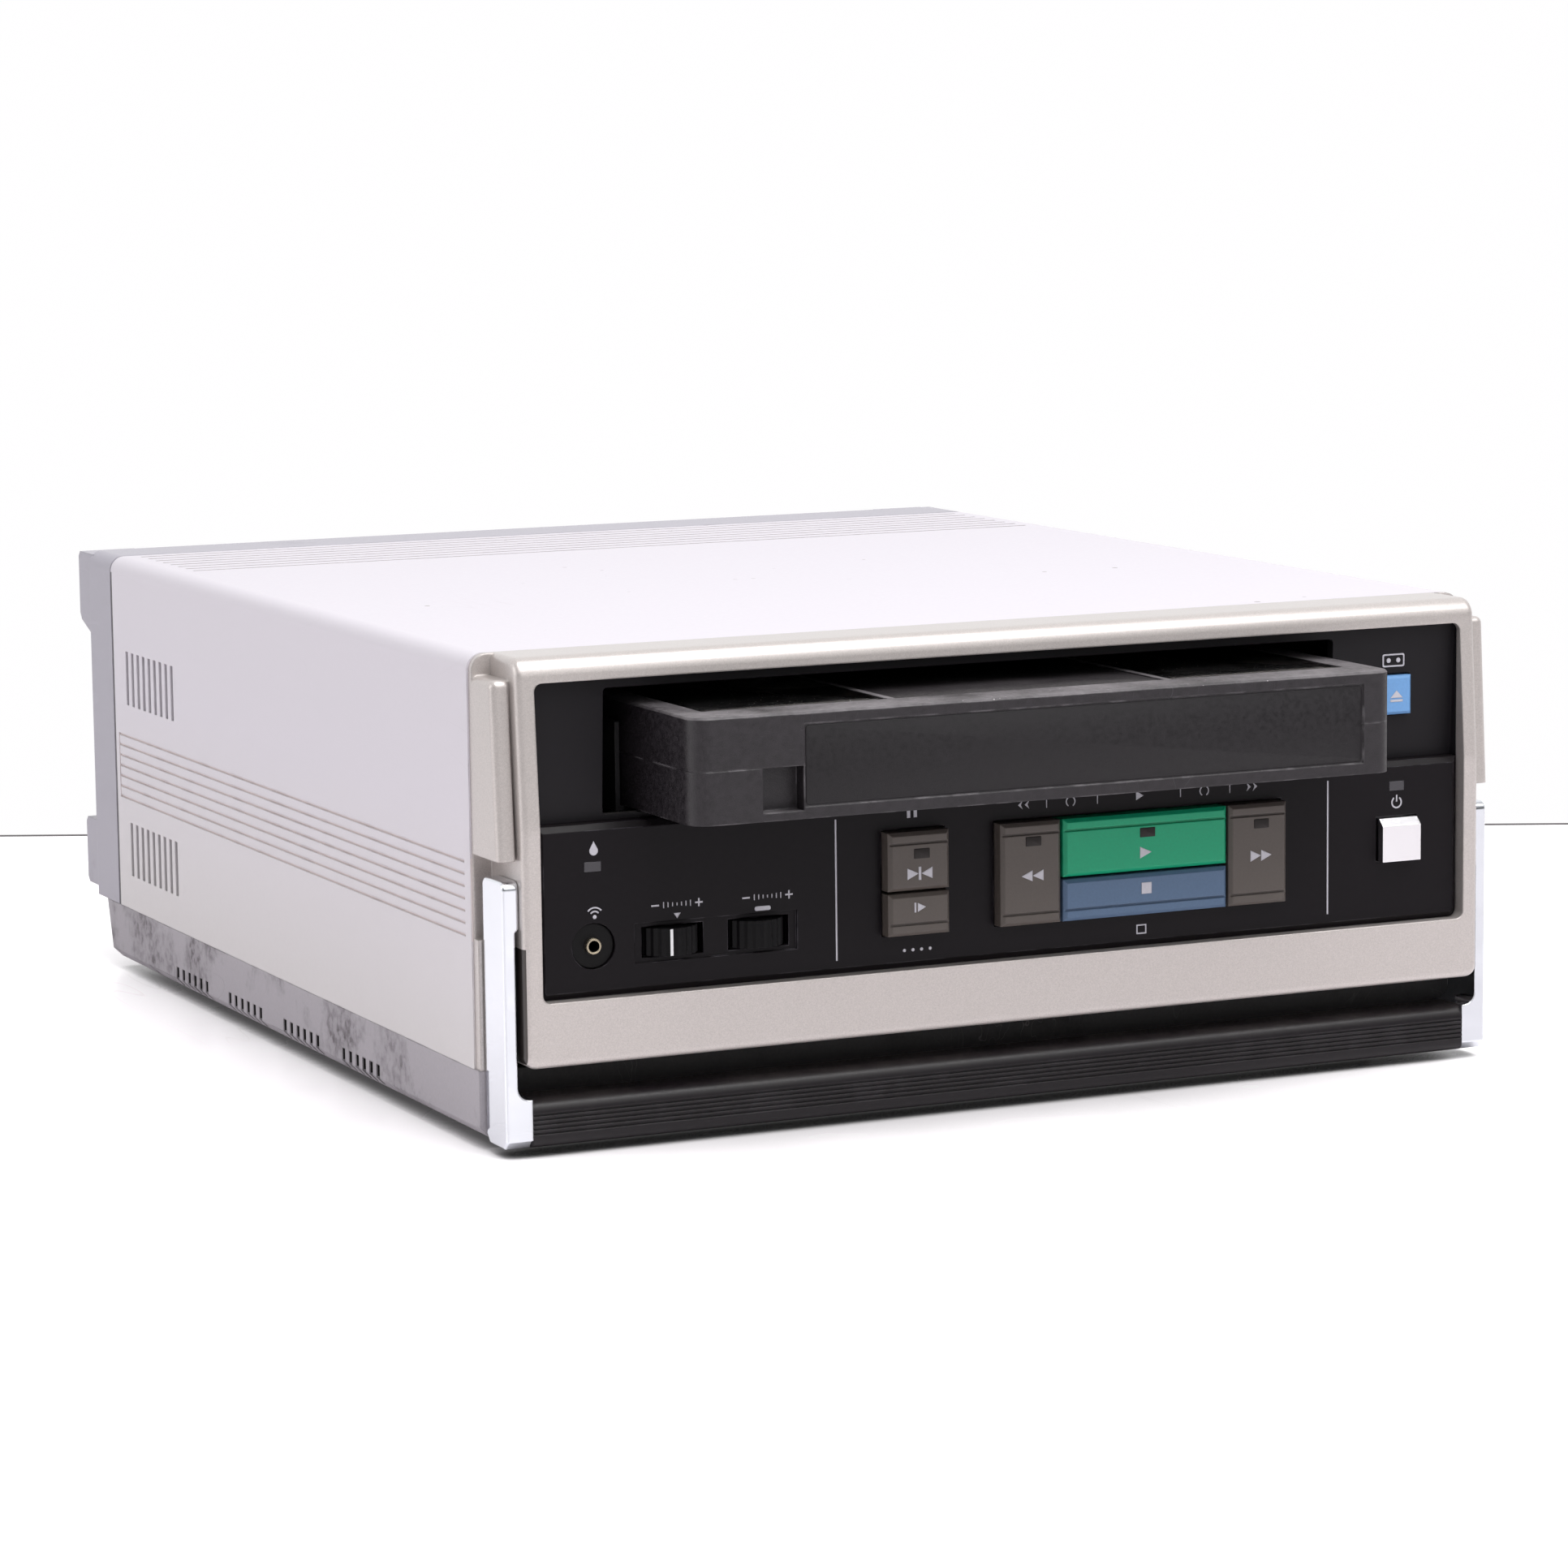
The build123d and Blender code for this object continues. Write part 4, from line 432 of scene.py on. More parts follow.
rearLook = {"colour": tint(158, 154, 166), "tone": 0.04, "rough": 0.45, "coat": 0.35,
            "grain": 1500.0, "bump": 0.5, "bumpDepth": 0.00006, "edgeWearAndLight": 0.4,
            "edgeWearAndLightColour": tint(206, 203, 210), "grime": 0.5, "grimeScale": 34.0,
            "grimeCover": 0.36, "grimeColour": tint(128, 126, 134), "edge": 0.0007}
# painted shade on the front of the rear frame, where it enters the cover at the seam
rearSeamShadeDepth = 7.7 * mm
dress(makeFinish("rearMoulding", rearLook, (paintedShadeColour, within({"Back": rearLow.y + rearSeamShadeDepth}))),
      "rear_frame")
paint("rearSheet", rearLook, "rear_panel")

baseLook = {"colour": tint(171, 166, 172), "tone": 0.05, "rough": 0.6, "grain": 1500.0,
            "bump": 0.6, "bumpDepth": 0.00007, "edgeWearAndLight": 0.9, "edgeWearAndLightColour": tint(70, 66, 70),
            "edgePatches": 45.0, "scratch": 0.45, "scratchScale": 34.0,
            "scratchColour": tint(96, 90, 94), "grime": 1.0, "grimeScale": 30.0,
            "grimeCover": 0.52, "grimeColour": tint(92, 86, 90), "edge": 0.0007}
baseSkin = {"deep": 0.25 * mm, "slope": 2.4 * mm, "steps": 5, "front": 9 * mm, "back": 7.4 * mm,
            "frontSide": 3.5 * mm}
baseFront = baseLow.y + baseSkin["front"]
# painted shade inside the base follows the base's slope in steps
baseShadeBoxes = [{"Front": baseFront, "Back": baseHigh.y - baseSkin["back"],
              "Outer": baseHigh.x - baseSkin["deep"] - step,
              "Low": baseLow.z + baseSkin["slope"] + baseSkin["deep"] - step}
             for step in (baseSkin["slope"] * k / (baseSkin["steps"] - 1)
                          for k in range(baseSkin["steps"]))]
# painted shade on the front face of the base, behind the grip
baseShadeBoxes.append({"Back": baseFront, "Outer": baseHigh.x - baseSkin["frontSide"]})
dress(makeFinish("baseMoulding", baseLook, (paintedShadeColour, within(*baseShadeBoxes))), "base_pan")

footLook = {"colour": tint(34, 33, 34), "rough": 0.85, "grain": 900.0, "bump": 0.5, "dustAndTopLight": 0.3,
            "specular": 0.2}
paint("footRubber", footLook, "rubber_feet")
# the light colour on the panel's edges is painted highlight along its bevels
panelLook = {"colour": tint(15, 11, 15), "tone": 0.05, "rough": 0.36, "roughSpread": 0.06,
             "grain": 1500.0, "bump": 0.12, "bumpDepth": 0.00002, "scratch": 0.05,
             "dustAndTopLight": 0.04, "dustScale": 40.0, "specular": 0.16, "edge": 0.0004,
             "edgeWearAndLight": 0.45, "edgeWearAndLightColour": tint(120, 117, 124)}
paint("panelPlastic", panelLook, "control_panel")
upperLook = {"colour": tint(27, 25, 28), "rough": 0.48, "grain": 1800.0, "bump": 0.45,
             "bumpDepth": 0.00004, "dustAndTopLight": 0.25, "scratch": 0.08, "specular": 0.16}
paint("upperPlastic", upperLook, "upper_panel", "cassette_door", "door_hangers")

keyLook = {"tone": 0.04, "rough": 0.38, "grain": 1600.0, "bump": 0.3, "bumpDepth": 0.00003,
           "edgeWearAndLight": 0.35, "edge": 0.0004, "specular": 0.4}
keyColours = {
    "keyTaupe": (tint(84, 77, 73), "still_button", "slow_button", "rewind_button",
                 "forward_button"),
    "keyGreen": (tint(16, 150, 108), "play_button"),
    "keyBlue": (tint(80, 102, 130), "stop_button"),
    "keyLightBlue": (tint(106, 152, 203), "eject_button"),
}
for finishName, (colour, *keys) in keyColours.items():
    paint(finishName, {**keyLook, "colour": colour}, *keys)
powerLook = {"colour": tint(240, 238, 241), "metal": 1.0, "rough": 0.14, "roughSpread": 0.05,
             "tone": 0.02, "grain": 2400.0, "bump": 0.1, "bumpDepth": 0.00001, "edge": 0.0002,
             "scratch": 0.05}
paint("powerSilver", powerLook, "power_button")
lensLook = {"colour": tint(52, 50, 55), "tone": 0.05, "rough": 0.18, "coat": 0.25,
            "grain": 1800.0, "bump": 0.1}
paint("lampLens", lensLook, "lamp_lenses")
nickelLook = {"colour": tint(205, 202, 194), "metal": 1.0, "rough": 0.24, "grain": 900.0,
              "scratch": 0.2, "scratchScale": 120.0}
paint("socketNickel", nickelLook, "coax_sockets", "phono_sockets")
inletLook = {"colour": tint(13, 12, 13), "rough": 0.45, "grain": 900.0, "specular": 0.16}
paint("inletPlastic", inletLook, "mains_inlet", "remote_jack")

chromeLook = {"colour": tint(233, 236, 242), "metal": 1.0, "rough": 0.07, "roughSpread": 0.05,
              "tone": 0.015, "grain": 90.0, "bump": 0.02, "bumpDepth": 0.00001, "edge": 0.0006,
              "edgeWearAndLight": 0.25, "edgeWearAndLightColour": tint(168, 168, 172), "scratch": 0.2,
              "scratchScale": 40.0, "scratchColour": tint(180, 180, 188), "grime": 0.12,
              "grimeScale": 40.0, "grimeColour": tint(150, 148, 148)}
paint("polishedChrome", chromeLook, "handle_arm_left", "handle_arm_right")
gripLook = {"colour": tint(22, 17, 21), "rough": 0.34, "grain": 1400.0, "bump": 0.25,
            "bumpDepth": 0.00003, "edgeWearAndLight": 0.35, "edgeWearAndLightColour": tint(74, 70, 76), "edge": 0.0005,
            "scratch": 0.1, "dustAndTopLight": 0.1, "specular": 0.35}
paint("gripPlastic", gripLook, "handle_grip")

steelLook = {"colour": tint(190, 188, 182), "metal": 1.0, "rough": 0.36, "tone": 0.05,
             "grain": 500.0, "scratch": 0.3, "scratchScale": 60.0, "edgeWearAndLight": 0.2}
steelFinish = paint("platedSteel", steelLook, "deck_chassis", "rf_converter", "loading_motor",
                    "handle_pins", "deck_posts", "capstan", "pinch_arm")
# dark steel on the holder and its brackets; its darkness is partly painted shade inside the cassette
# slot
holderLook = {"colour": tint(46, 45, 47), "metal": 0.6, "rough": 0.55, "grain": 900.0,
              "scratch": 0.3, "scratchScale": 60.0, "edgeWearAndLight": 0.2}
paint("darkHolderSteel", holderLook, "carriage_brackets", "cassette_holder")
drumLook = {"colour": tint(214, 214, 216), "metal": 1.0, "rough": 0.24, "tone": 0.02,
            "grain": 900.0}
paint("turnedAluminium", drumLook, "lower_drum", "head_drum")
headLook = {"colour": tint(168, 165, 160), "metal": 1.0, "rough": 0.18, "grain": 700.0}
paint("headMetal", headLook, "erase_head", "sound_head")
brassLook = {"colour": tint(196, 164, 96), "metal": 1.0, "rough": 0.28, "grain": 700.0,
             "scratch": 0.25}
paint("bearingBrass", brassLook, "capstan_housing")
rollerLook = {"colour": tint(26, 25, 26), "rough": 0.72, "grain": 1200.0, "bump": 0.4}
paint("rollerRubber", rollerLook, "pinch_roller")
tableLook = {"colour": tint(226, 224, 214), "rough": 0.46, "tone": 0.02, "grain": 1200.0,
             "dustAndTopLight": 0.1}
paint("tablePlastic", tableLook, "supply_table", "takeup_table")
sinkLook = {"colour": tint(34, 34, 36), "metal": 0.7, "grain": 900.0, "edgeWearAndLight": 0.4}
paint("sinkBlack", sinkLook, "heat_sink")
controlLook = {"colour": tint(72, 72, 74), "rough": 0.52, "grain": 1200.0}
paint("controlPlastic", controlLook, "wheel_controls")
wheelLook = {"colour": tint(12, 11, 13), "grain": 1200.0, "edgeWearAndLight": 0.2,
             "edgeWearAndLightColour": tint(50, 48, 52), "specular": 0.15}
paint("wheelPlastic", wheelLook, "tracking_wheel", "slow_tracking_wheel")

# the heavy pale dust on the shell's top is dust and also painted light on the top
shellLook = {"colour": tint(34, 30, 34), "tone": 0.22, "rough": 0.44, "roughSpread": 0.2,
             "grain": 700.0, "bump": 0.8, "bumpDepth": 0.00012, "edgeWearAndLight": 0.65,
             "edgeWearAndLightColour": tint(124, 120, 124), "edge": 0.0006, "scratch": 0.45,
             "scratchScale": 24.0, "scratchColour": tint(84, 82, 88), "dustAndTopLight": 1.0,
             "dustScale": 30.0, "dustAndTopLightColour": tint(176, 170, 174), "specular": 0.45}
paint("cassetteShell", shellLook, "cassette_lower_shell", "cassette_upper_shell",
      "cassette_flap")
reelLook = {"colour": tint(224, 223, 218), "rough": 0.4, "tone": 0.02, "grain": 1200.0}
reelFinish = paint("reelPlastic", reelLook, "supply_reel", "takeup_reel")
tapeLook = {"colour": tint(44, 34, 30), "rough": 0.22, "tone": 0.1, "grain": 1600.0,
            "coat": 0.4}
tapeFinish = paint("tapePack", tapeLook, "magnetic_tape")

# boards: green lacquer below, dark packages above it
boardLook = {"colour": tint(46, 104, 60), "rough": 0.36, "tone": 0.12, "grain": 260.0,
             "coat": 0.3, "dustAndTopLight": 0.3}
packageColour = tint(34, 34, 36)
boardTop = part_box("main_board")[0].z + 1.7 * mm


def aboveBoard(tree):
    return use(tree, effects["heightBand"], Low=boardTop, High=1.0)["Mask"]


dress(makeFinish("mainBoard", boardLook, (packageColour, aboveBoard)), "main_board",
      "power_board")
paint("switchBoard", boardLook, "switch_board")

# transformer: varnished laminations in the middle, a taped winding before and behind
coreLook = {"colour": tint(96, 88, 80), "metal": 0.5, "grain": 900.0, "scratch": 0.3}
winding = {"colour": tint(206, 176, 70), "from": 14.1 * mm}
coreLow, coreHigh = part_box("power_transformer")
coreMiddle = (coreLow.y + coreHigh.y) / 2


def outsideCore(tree):
    away = calc(tree, "ABSOLUTE", calc(tree, "SUBTRACT", axesOf(tree)["Y"], coreMiddle))
    return calc(tree, "GREATER_THAN", away, winding["from"])


dress(makeFinish("transformerCore", coreLook, (winding["colour"], outsideCore)),
      "power_transformer")
print("finishes on the solids")


# mesh tools; outlines and rises are in mm
def depthOf(y):
    return (y - frontY) / mm


def facing(side, level):
    # maps a pair of places onto a face that looks to that side, and gives its outward direction
    if side == "top":
        return (lambda x, d: Vector((x * mm, frontY + d * mm, level * mm))), upward
    outward = forward if side == "front" else backward
    return (lambda x, z: Vector((x * mm, frontY + level * mm, z * mm))), outward


def arc(x, z, radius, start, sweep, steps, count):
    start, sweep = math.radians(start), math.radians(sweep)
    return [(x + radius * math.cos(start + k * sweep / steps),
             z + radius * math.sin(start + k * sweep / steps)) for k in range(count)]


def disc(x, z, radius, steps=24, start=0, sweep=360):
    return arc(x, z, radius, start, sweep, steps, steps)


def arcBand(x, z, radius, width, start, end, steps=14):
    outer, inner = (arc(x, z, radius + side * width / 2, start, end - start, steps, steps + 1)
                    for side in (1, -1))
    return outer + inner[::-1]


def roundRect(x, z, width, height, radius=0.0, steps=4):
    # outline round a middle point
    if radius <= 0:
        return [(x + a * width / 2, z + b * height / 2)
                for a, b in ((-1, -1), (1, -1), (1, 1), (-1, 1))]
    points = []
    for corner, (a, b) in enumerate(((1, 1), (-1, 1), (-1, -1), (1, -1))):
        points += arc(x + (width / 2 - radius) * a, z + (height / 2 - radius) * b, radius,
                      90 * corner, 90, steps, steps + 1)
    return points


def boxOutline(left, right, low, high, radius=0.0):
    return roundRect((left + right) / 2, (low + high) / 2, right - left, high - low, radius)


def clipped(points, axis, limit, keepBelow):
    # part of an outline on one side of a line
    kept = []
    for first, second in zip(points, points[1:] + points[:1]):
        inFirst = (first[axis] <= limit) == keepBelow
        inSecond = (second[axis] <= limit) == keepBelow
        if inFirst:
            kept.append(first)
        if inFirst != inSecond:
            share = (limit - first[axis]) / (second[axis] - first[axis])
            kept.append(tuple(a + (b - a) * share for a, b in zip(first, second)))
    return kept


def joinRings(shape, lower, upper, index=0):
    # faces between two rings; a ring of one point is a tip
    count = max(len(lower), len(upper))
    for k in range(count):
        n = (k + 1) % count
        corners = []
        for corner in (lower[k % len(lower)], lower[n % len(lower)],
                       upper[n % len(upper)], upper[k % len(upper)]):
            if corner not in corners:
                corners.append(corner)
        if len(corners) > 2:
            shape.faces.new(corners).material_index = index


def fillBetween(shape, loops, index=0):
    # flat face inside the first loop and round the others
    flat = [vertex for loop in loops for vertex in loop]
    for corners in tessellate_polygon([[vertex.co for vertex in loop] for loop in loops]):
        shape.faces.new([flat[k] for k in corners]).material_index = index


def addSlab(shape, loops, face, low, high, bevel=0.0, index=0):
    # slab between two rises above a face; the first loop is its outline, the others are holes
    spotOn, outward = face
    rings = [[[shape.verts.new(spotOn(*point) + outward * rise * mm) for point in loop]
              for loop in loops] for rise in (low, high)]
    for lower, upper in zip(*rings):
        joinRings(shape, lower, upper, index)
    for ring in rings:
        if len(loops) == 1:
            shape.faces.new(ring[0]).material_index = index
        else:
            fillBetween(shape, ring, index)
    if bevel:
        # all the hard edges of the upper side
        top = {vertex for loop in rings[1] for vertex in loop}
        shape.normal_update()
        edges = [edge for edge in shape.edges
                 if top.issuperset(edge.verts) and edge.calc_face_angle(0) > 0.5]
        bmesh.ops.bevel(shape, geom=edges, offset=bevel * mm, segments=2, profile=0.5,
                        affect="EDGES")


def ringAt(shape, centre, turn, radius, rise, steps):
    # circle of points round an axis, or a tip where the radius is nothing
    points = disc(0, 0, radius, steps) if radius > 0 else [(0, 0)]
    return [shape.verts.new(centre + turn @ (Vector((x, z, rise)) * mm)) for x, z in points]


def addTurned(shape, profile, centre, axis, steps=24, index=0):
    # profile of (radius, rise) pairs turned about an axis through a point
    turn = upward.rotation_difference(axis)
    rings = [ringAt(shape, centre, turn, radius, rise, steps) for radius, rise in profile]
    for lower, upper in zip(rings, rings[1:]):
        joinRings(shape, lower, upper, index)
    for ring in (rings[0], rings[-1]):
        if len(ring) > 1:
            shape.faces.new(ring).material_index = index


# head and cross recess of a screw, as shares of its radius and height
screwShape = {"head": ((1.0, 0.0), (1.0, 0.45), (0.93, 0.75), (0.74, 1.0)), "arm": 0.56,
              "half": 0.13, "floorWidth": 0.72, "floorHeight": 0.2, "steps": 24}


def addScrew(shape, centre, axis, radius, height, index=0, darkIndex=1):
    turn = upward.rotation_difference(axis)
    rings = [ringAt(shape, centre, turn, radius * wide, height * high, screwShape["steps"])
             for wide, high in screwShape["head"]]
    for lower, upper in zip(rings, rings[1:]):
        joinRings(shape, lower, upper, index)
    arm, half = radius * screwShape["arm"], radius * screwShape["half"]
    corners = [(half, half), (half, arm), (-half, arm)]
    cross = []
    for _ in range(4):
        cross += corners
        corners = [(-z, x) for x, z in corners]
    mouth, floor = ([shape.verts.new(centre + turn @ (Vector((x * wide, z * wide, high)) * mm))
                     for x, z in cross]
                    for wide, high in ((1.0, height), (screwShape["floorWidth"],
                                                       height * screwShape["floorHeight"])))
    fillBetween(shape, [rings[-1], mouth], index)
    joinRings(shape, mouth, floor, darkIndex)
    shape.faces.new(floor).material_index = darkIndex


def showMesh(name, shape, finishes):
    mesh = bpy.data.meshes.new(name)
    shape.to_mesh(mesh)
    shape.free()
    for finish in finishes:
        mesh.materials.append(finish)
    shown = bpy.data.objects.new(name, mesh)
    bpy.context.scene.collection.objects.link(shown)
    return shown


def makePiece(name, shape, finishes, body, sharp=35):
    # edges that turn by more than sharp degrees stay hard
    bmesh.ops.recalc_face_normals(shape, faces=shape.faces)
    for face in shape.faces:
        face.smooth = True
    for edge in shape.edges:
        edge.smooth = edge.calc_face_angle(0) < math.radians(sharp)
    piece = showMesh(name, shape, finishes)
    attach(piece, body)
    return piece


def middleOf(node):
    low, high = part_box(node)
    return (low + high) / 2


printLook = {"colour": tint(186, 184, 192), "tone": 0.05, "grain": 2500.0, "bump": 0.1,
             "edgeWearAndLight": 0.0, "scratch": 0.15, "scratchScale": 90.0,
             "scratchColour": tint(120, 118, 124)}
printFinish = makeFinish("markPrint", printLook)
inkRise = 0.05                   # mm that a printed mark stands above its surface


def ink(shape, face, *loops, rise=inkRise):
    addSlab(shape, loops, face, 0, rise)


# marks and lamps on the keys, as (left, right, low, high)
# a triangle points right where its left is the smaller
keyMarks = {
    "still": {"node": "still_button", "triangles": [(-31.5, -28.5, 59.0, 61.8),
                                                    (-24.8, -27.8, 59.0, 61.8)],
              "bars": [(-28.5, -27.8, 58.8, 62.0)], "lamp": (-29.7, -25.5, 64.0, 66.4)},
    "slow": {"node": "slow_button", "triangles": [(-28.8, -26.6, 51.1, 53.3)],
             "bars": [(-29.7, -29.2, 51.0, 53.4)]},
    "rewind": {"node": "rewind_button", "triangles": [(2.2, -0.8, 56.1, 58.8),
                                                      (5.2, 2.2, 56.1, 58.8)],
               "lamp": (0.4, 4.6, 64.7, 67.0)},
    "play": {"node": "play_button", "triangles": [(31.8, 35.0, 59.4, 62.3)],
             "lamp": (31.8, 36.0, 64.6, 66.9)},
    "stop": {"node": "stop_button", "bars": [(32.2, 35.0, 50.6, 53.4)]},
    "forward": {"node": "forward_button", "triangles": [(62.8, 65.8, 56.2, 59.0),
                                                        (65.8, 68.8, 56.2, 59.0)],
                "lamp": (63.8, 68.0, 64.4, 66.7)},
    "eject": {"node": "eject_button", "bars": [(106.2, 109.8, 92.5, 93.1)],
              "arrow": (106.2, 109.8, 93.5, 95.4)},
}
keyLampLook = {"colour": tint(46, 42, 41), "tone": 0.03, "rough": 0.6, "grain": 1500.0,
               "bump": 0.05, "edgeWearAndLight": 0.0, "scratch": 0.0, "specular": 0.25}
keyLampFinish = makeFinish("keyLampLens", keyLampLook)
keyLampShape = {"corner": 0.2, "rise": 2 * inkRise, "bevel": 0.04}
for keyName, mark in keyMarks.items():
    face = facing("front", depthOf(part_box(mark["node"])[0].y))
    shape = bmesh.new()
    for left, right, low, high in mark.get("triangles", []):
        ink(shape, face, [(left, low), (right, (low + high) / 2), (left, high)])
    for limits in mark.get("bars", []):
        ink(shape, face, boxOutline(*limits))
    if "arrow" in mark:
        left, right, low, high = mark["arrow"]
        ink(shape, face, [(left, low), (right, low), ((left + right) / 2, high)])
    makePiece(keyName + "Mark", shape, [printFinish], keyName + "_key")
    if "lamp" in mark:
        shape = bmesh.new()
        addSlab(shape, [boxOutline(*mark["lamp"], keyLampShape["corner"])], face, 0,
                keyLampShape["rise"], keyLampShape["bevel"])
        makePiece(keyName + "Lamp", shape, [keyLampFinish], keyName + "_key")
print("keys marked")

# marks on the control panel, placed by x and z
panelMarks = {
    "depth": 2.5, "lineWidth": 0.45, "lines": [(-48.6, 40.3, 74.4), (87.1, 40.6, 74.2)],
    "drop": (-111.0, 71.6, 1.1), "dropTip": 2.31, "waves": (-111.0, 56.0), "waveMiddle": 0.5,
    "waveRings": (1.3, 2.2), "scales": [(-90.0, 57.4), (-66.6, 57.4)], "detent": (-90.0, 54.7),
    "pill": (-67.9, 54.6, 4.2, 1.1, 0.5), "power": (107.1, 67.4, 1.35),
    "pause": [(-29.2, 74.4), (-27.4, 74.4)], "dots": (-30.6, 41.3, 2.3), "square": (34.2, 41.2),
    "ticks": [8.1, 22.1, 45.2, 59.1], "loops": [14.7, 51.9], "loopRadius": 1.2, "middleZ": 74.2,
    "arrowHeads": [(1.0, -1), (2.8, -1), (64.4, 1), (66.2, 1)], "lowZ": 73.2,
    "start": (32.8, 34.9, 73.2, 75.4),
}
# a minus at both ends of a scale of seven ticks, with a plus at its right
scaleMark = {"out": 5.6, "minus": (2.0, 0.42), "plusOut": 0.61, "plus": (0.42, 0.8),
             "pitch": 1.15, "width": 0.26, "short": 0.7, "longer": 0.25}
stroke = {"wave": 0.38, "power": 0.4, "powerBar": (0.42, 1.755), "powerRise": 1.0125,
          "tick": (0.26, 2.2), "pause": (0.9, 2.0), "loop": 0.3, "dot": 0.42,
          "squareOut": (2.8, 2.4), "squareIn": (2.1, 1.7)}
# arcs in degrees: the drop's steps, start and sweep, and the others' start, end and steps
swept = {"drop": (20, -215, 250), "wave": (40, 140, 14), "power": (125, 415, 24),
         "loop": (-60, 240, 16)}
detentOutline = ((-0.9, 0.6), (0.0, -0.7), (0.9, 0.6))
arrowHead = ((-0.6, 0.0), (0.7, 1.1), (-0.6, 2.2), (-0.1, 1.1))
face = facing("front", panelMarks["depth"])
shape = bmesh.new()
for x, low, high in panelMarks["lines"]:
    ink(shape, face, roundRect(x, (low + high) / 2, panelMarks["lineWidth"], high - low))
makePiece("panelLines", shape, [printFinish], "housing")

shape = bmesh.new()
x, z, radius = panelMarks["drop"]
ink(shape, face, disc(x, z, radius, *swept["drop"]) + [(x, z + panelMarks["dropTip"])])
x, z = panelMarks["waves"]
ink(shape, face, disc(x, z, panelMarks["waveMiddle"], 12))
for radius in panelMarks["waveRings"]:
    ink(shape, face, arcBand(x, z, radius, stroke["wave"], *swept["wave"]))
for x, z in panelMarks["scales"]:
    for sign in (-1, 1):
        ink(shape, face, roundRect(x + sign * scaleMark["out"], z, *scaleMark["minus"]))
        ink(shape, face, roundRect(x + scaleMark["out"], z + sign * scaleMark["plusOut"],
                                   *scaleMark["plus"]))
    for k in range(-3, 4):
        ink(shape, face, roundRect(x + k * scaleMark["pitch"], z, scaleMark["width"],
                                   scaleMark["short"] + scaleMark["longer"] * abs(k)))
x, z = panelMarks["detent"]
ink(shape, face, [(x + a, z + b) for a, b in detentOutline])
ink(shape, face, roundRect(*panelMarks["pill"]))
x, z, radius = panelMarks["power"]
ink(shape, face, arcBand(x, z, radius, stroke["power"], *swept["power"]))
ink(shape, face, roundRect(x, z + stroke["powerRise"], *stroke["powerBar"]))
# over and under the keys
for x, z in panelMarks["pause"]:
    ink(shape, face, roundRect(x, z, *stroke["pause"]))
x, z, pitch = panelMarks["dots"]
for k in range(4):
    ink(shape, face, disc(x + k * pitch, z, stroke["dot"], 10))
x, z = panelMarks["square"]
ink(shape, face, roundRect(x, z, *stroke["squareOut"]), roundRect(x, z, *stroke["squareIn"]))
for x in panelMarks["ticks"]:
    ink(shape, face, roundRect(x, panelMarks["middleZ"], *stroke["tick"]))
for x in panelMarks["loops"]:
    ink(shape, face, arcBand(x, panelMarks["middleZ"], panelMarks["loopRadius"], stroke["loop"],
                             *swept["loop"]))
for x, turn in panelMarks["arrowHeads"]:
    ink(shape, face, [(x + turn * a, panelMarks["lowZ"] + b) for a, b in arrowHead])
left, right, low, high = panelMarks["start"]
ink(shape, face, [(left, low), (right, (low + high) / 2), (left, high)])
makePiece("panelMarks", shape, [printFinish], "housing")

# over the eject key: the outline of a cassette with its two reels
ejectMark = {"x": 108.0, "z": 102.8, "width": 6.4, "height": 3.3, "corner": 0.5, "line": 0.4,
             "innerCorner": 0.3, "reel": 0.62, "reelOut": 1.4, "clear": 0.04, "rise": 3 * inkRise}
upperPanel = {"fromZ": 77.8, "depth": 7.2, "lean": 2.0}      # the upper panel leans back
lean = upperPanel["lean"] / (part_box("upper_panel")[1].z / mm - upperPanel["fromZ"])
x, z, width, height = (ejectMark[key] for key in ("x", "z", "width", "height"))
face = facing("front", upperPanel["depth"] - lean * (z - upperPanel["fromZ"]) + ejectMark["clear"])
inner = 2 * ejectMark["line"]
shape = bmesh.new()
ink(shape, face, roundRect(x, z, width, height, ejectMark["corner"]),
    roundRect(x, z, width - inner, height - inner, ejectMark["innerCorner"]),
    rise=ejectMark["rise"])
for sign in (-1, 1):
    ink(shape, face, disc(x + sign * ejectMark["reelOut"], z, ejectMark["reel"], 14),
        rise=ejectMark["rise"])
makePiece("ejectPrint", shape, [printFinish], "housing")
print("panel marked")

# white line on the tracking wheel, and the collar of the remote socket
wheelMark = {"width": 0.7, "angle": -12.0, "deep": 0.45, "skin": 0.02, "inset": 0.15}
wheelMiddle = middleOf("tracking_wheel")
wheelLow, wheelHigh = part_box("tracking_wheel")
wheelRadius = (wheelHigh.x - wheelLow.x) / 2
angle = math.radians(270 + wheelMark["angle"])
away = Vector((math.cos(angle), math.sin(angle), 0))
beside = Vector((-math.sin(angle), math.cos(angle), 0)) * wheelMark["width"] / 2 * mm
shape = bmesh.new()
corners = [shape.verts.new(Vector((wheelMiddle.x, wheelMiddle.y, height)) + away * reach
                           + beside * sign)
           for reach in (wheelRadius - wheelMark["deep"] * mm, wheelRadius - wheelMark["skin"] * mm)
           for height in (wheelLow.z + wheelMark["inset"] * mm,
                          wheelHigh.z - wheelMark["inset"] * mm)
           for sign in (-1, 1)]
for quad in ((0, 1, 3, 2), (4, 6, 7, 5), (0, 4, 5, 1), (2, 3, 7, 6), (0, 2, 6, 4), (1, 5, 7, 3)):
    shape.faces.new([corners[k] for k in quad])
inlayLook = {"colour": tint(232, 232, 234), "rough": 0.45, "tone": 0.02, "grain": 1500.0}
makePiece("trackingLine", shape, [makeFinish("whiteInlay", inlayLook)], "tracking_dial")

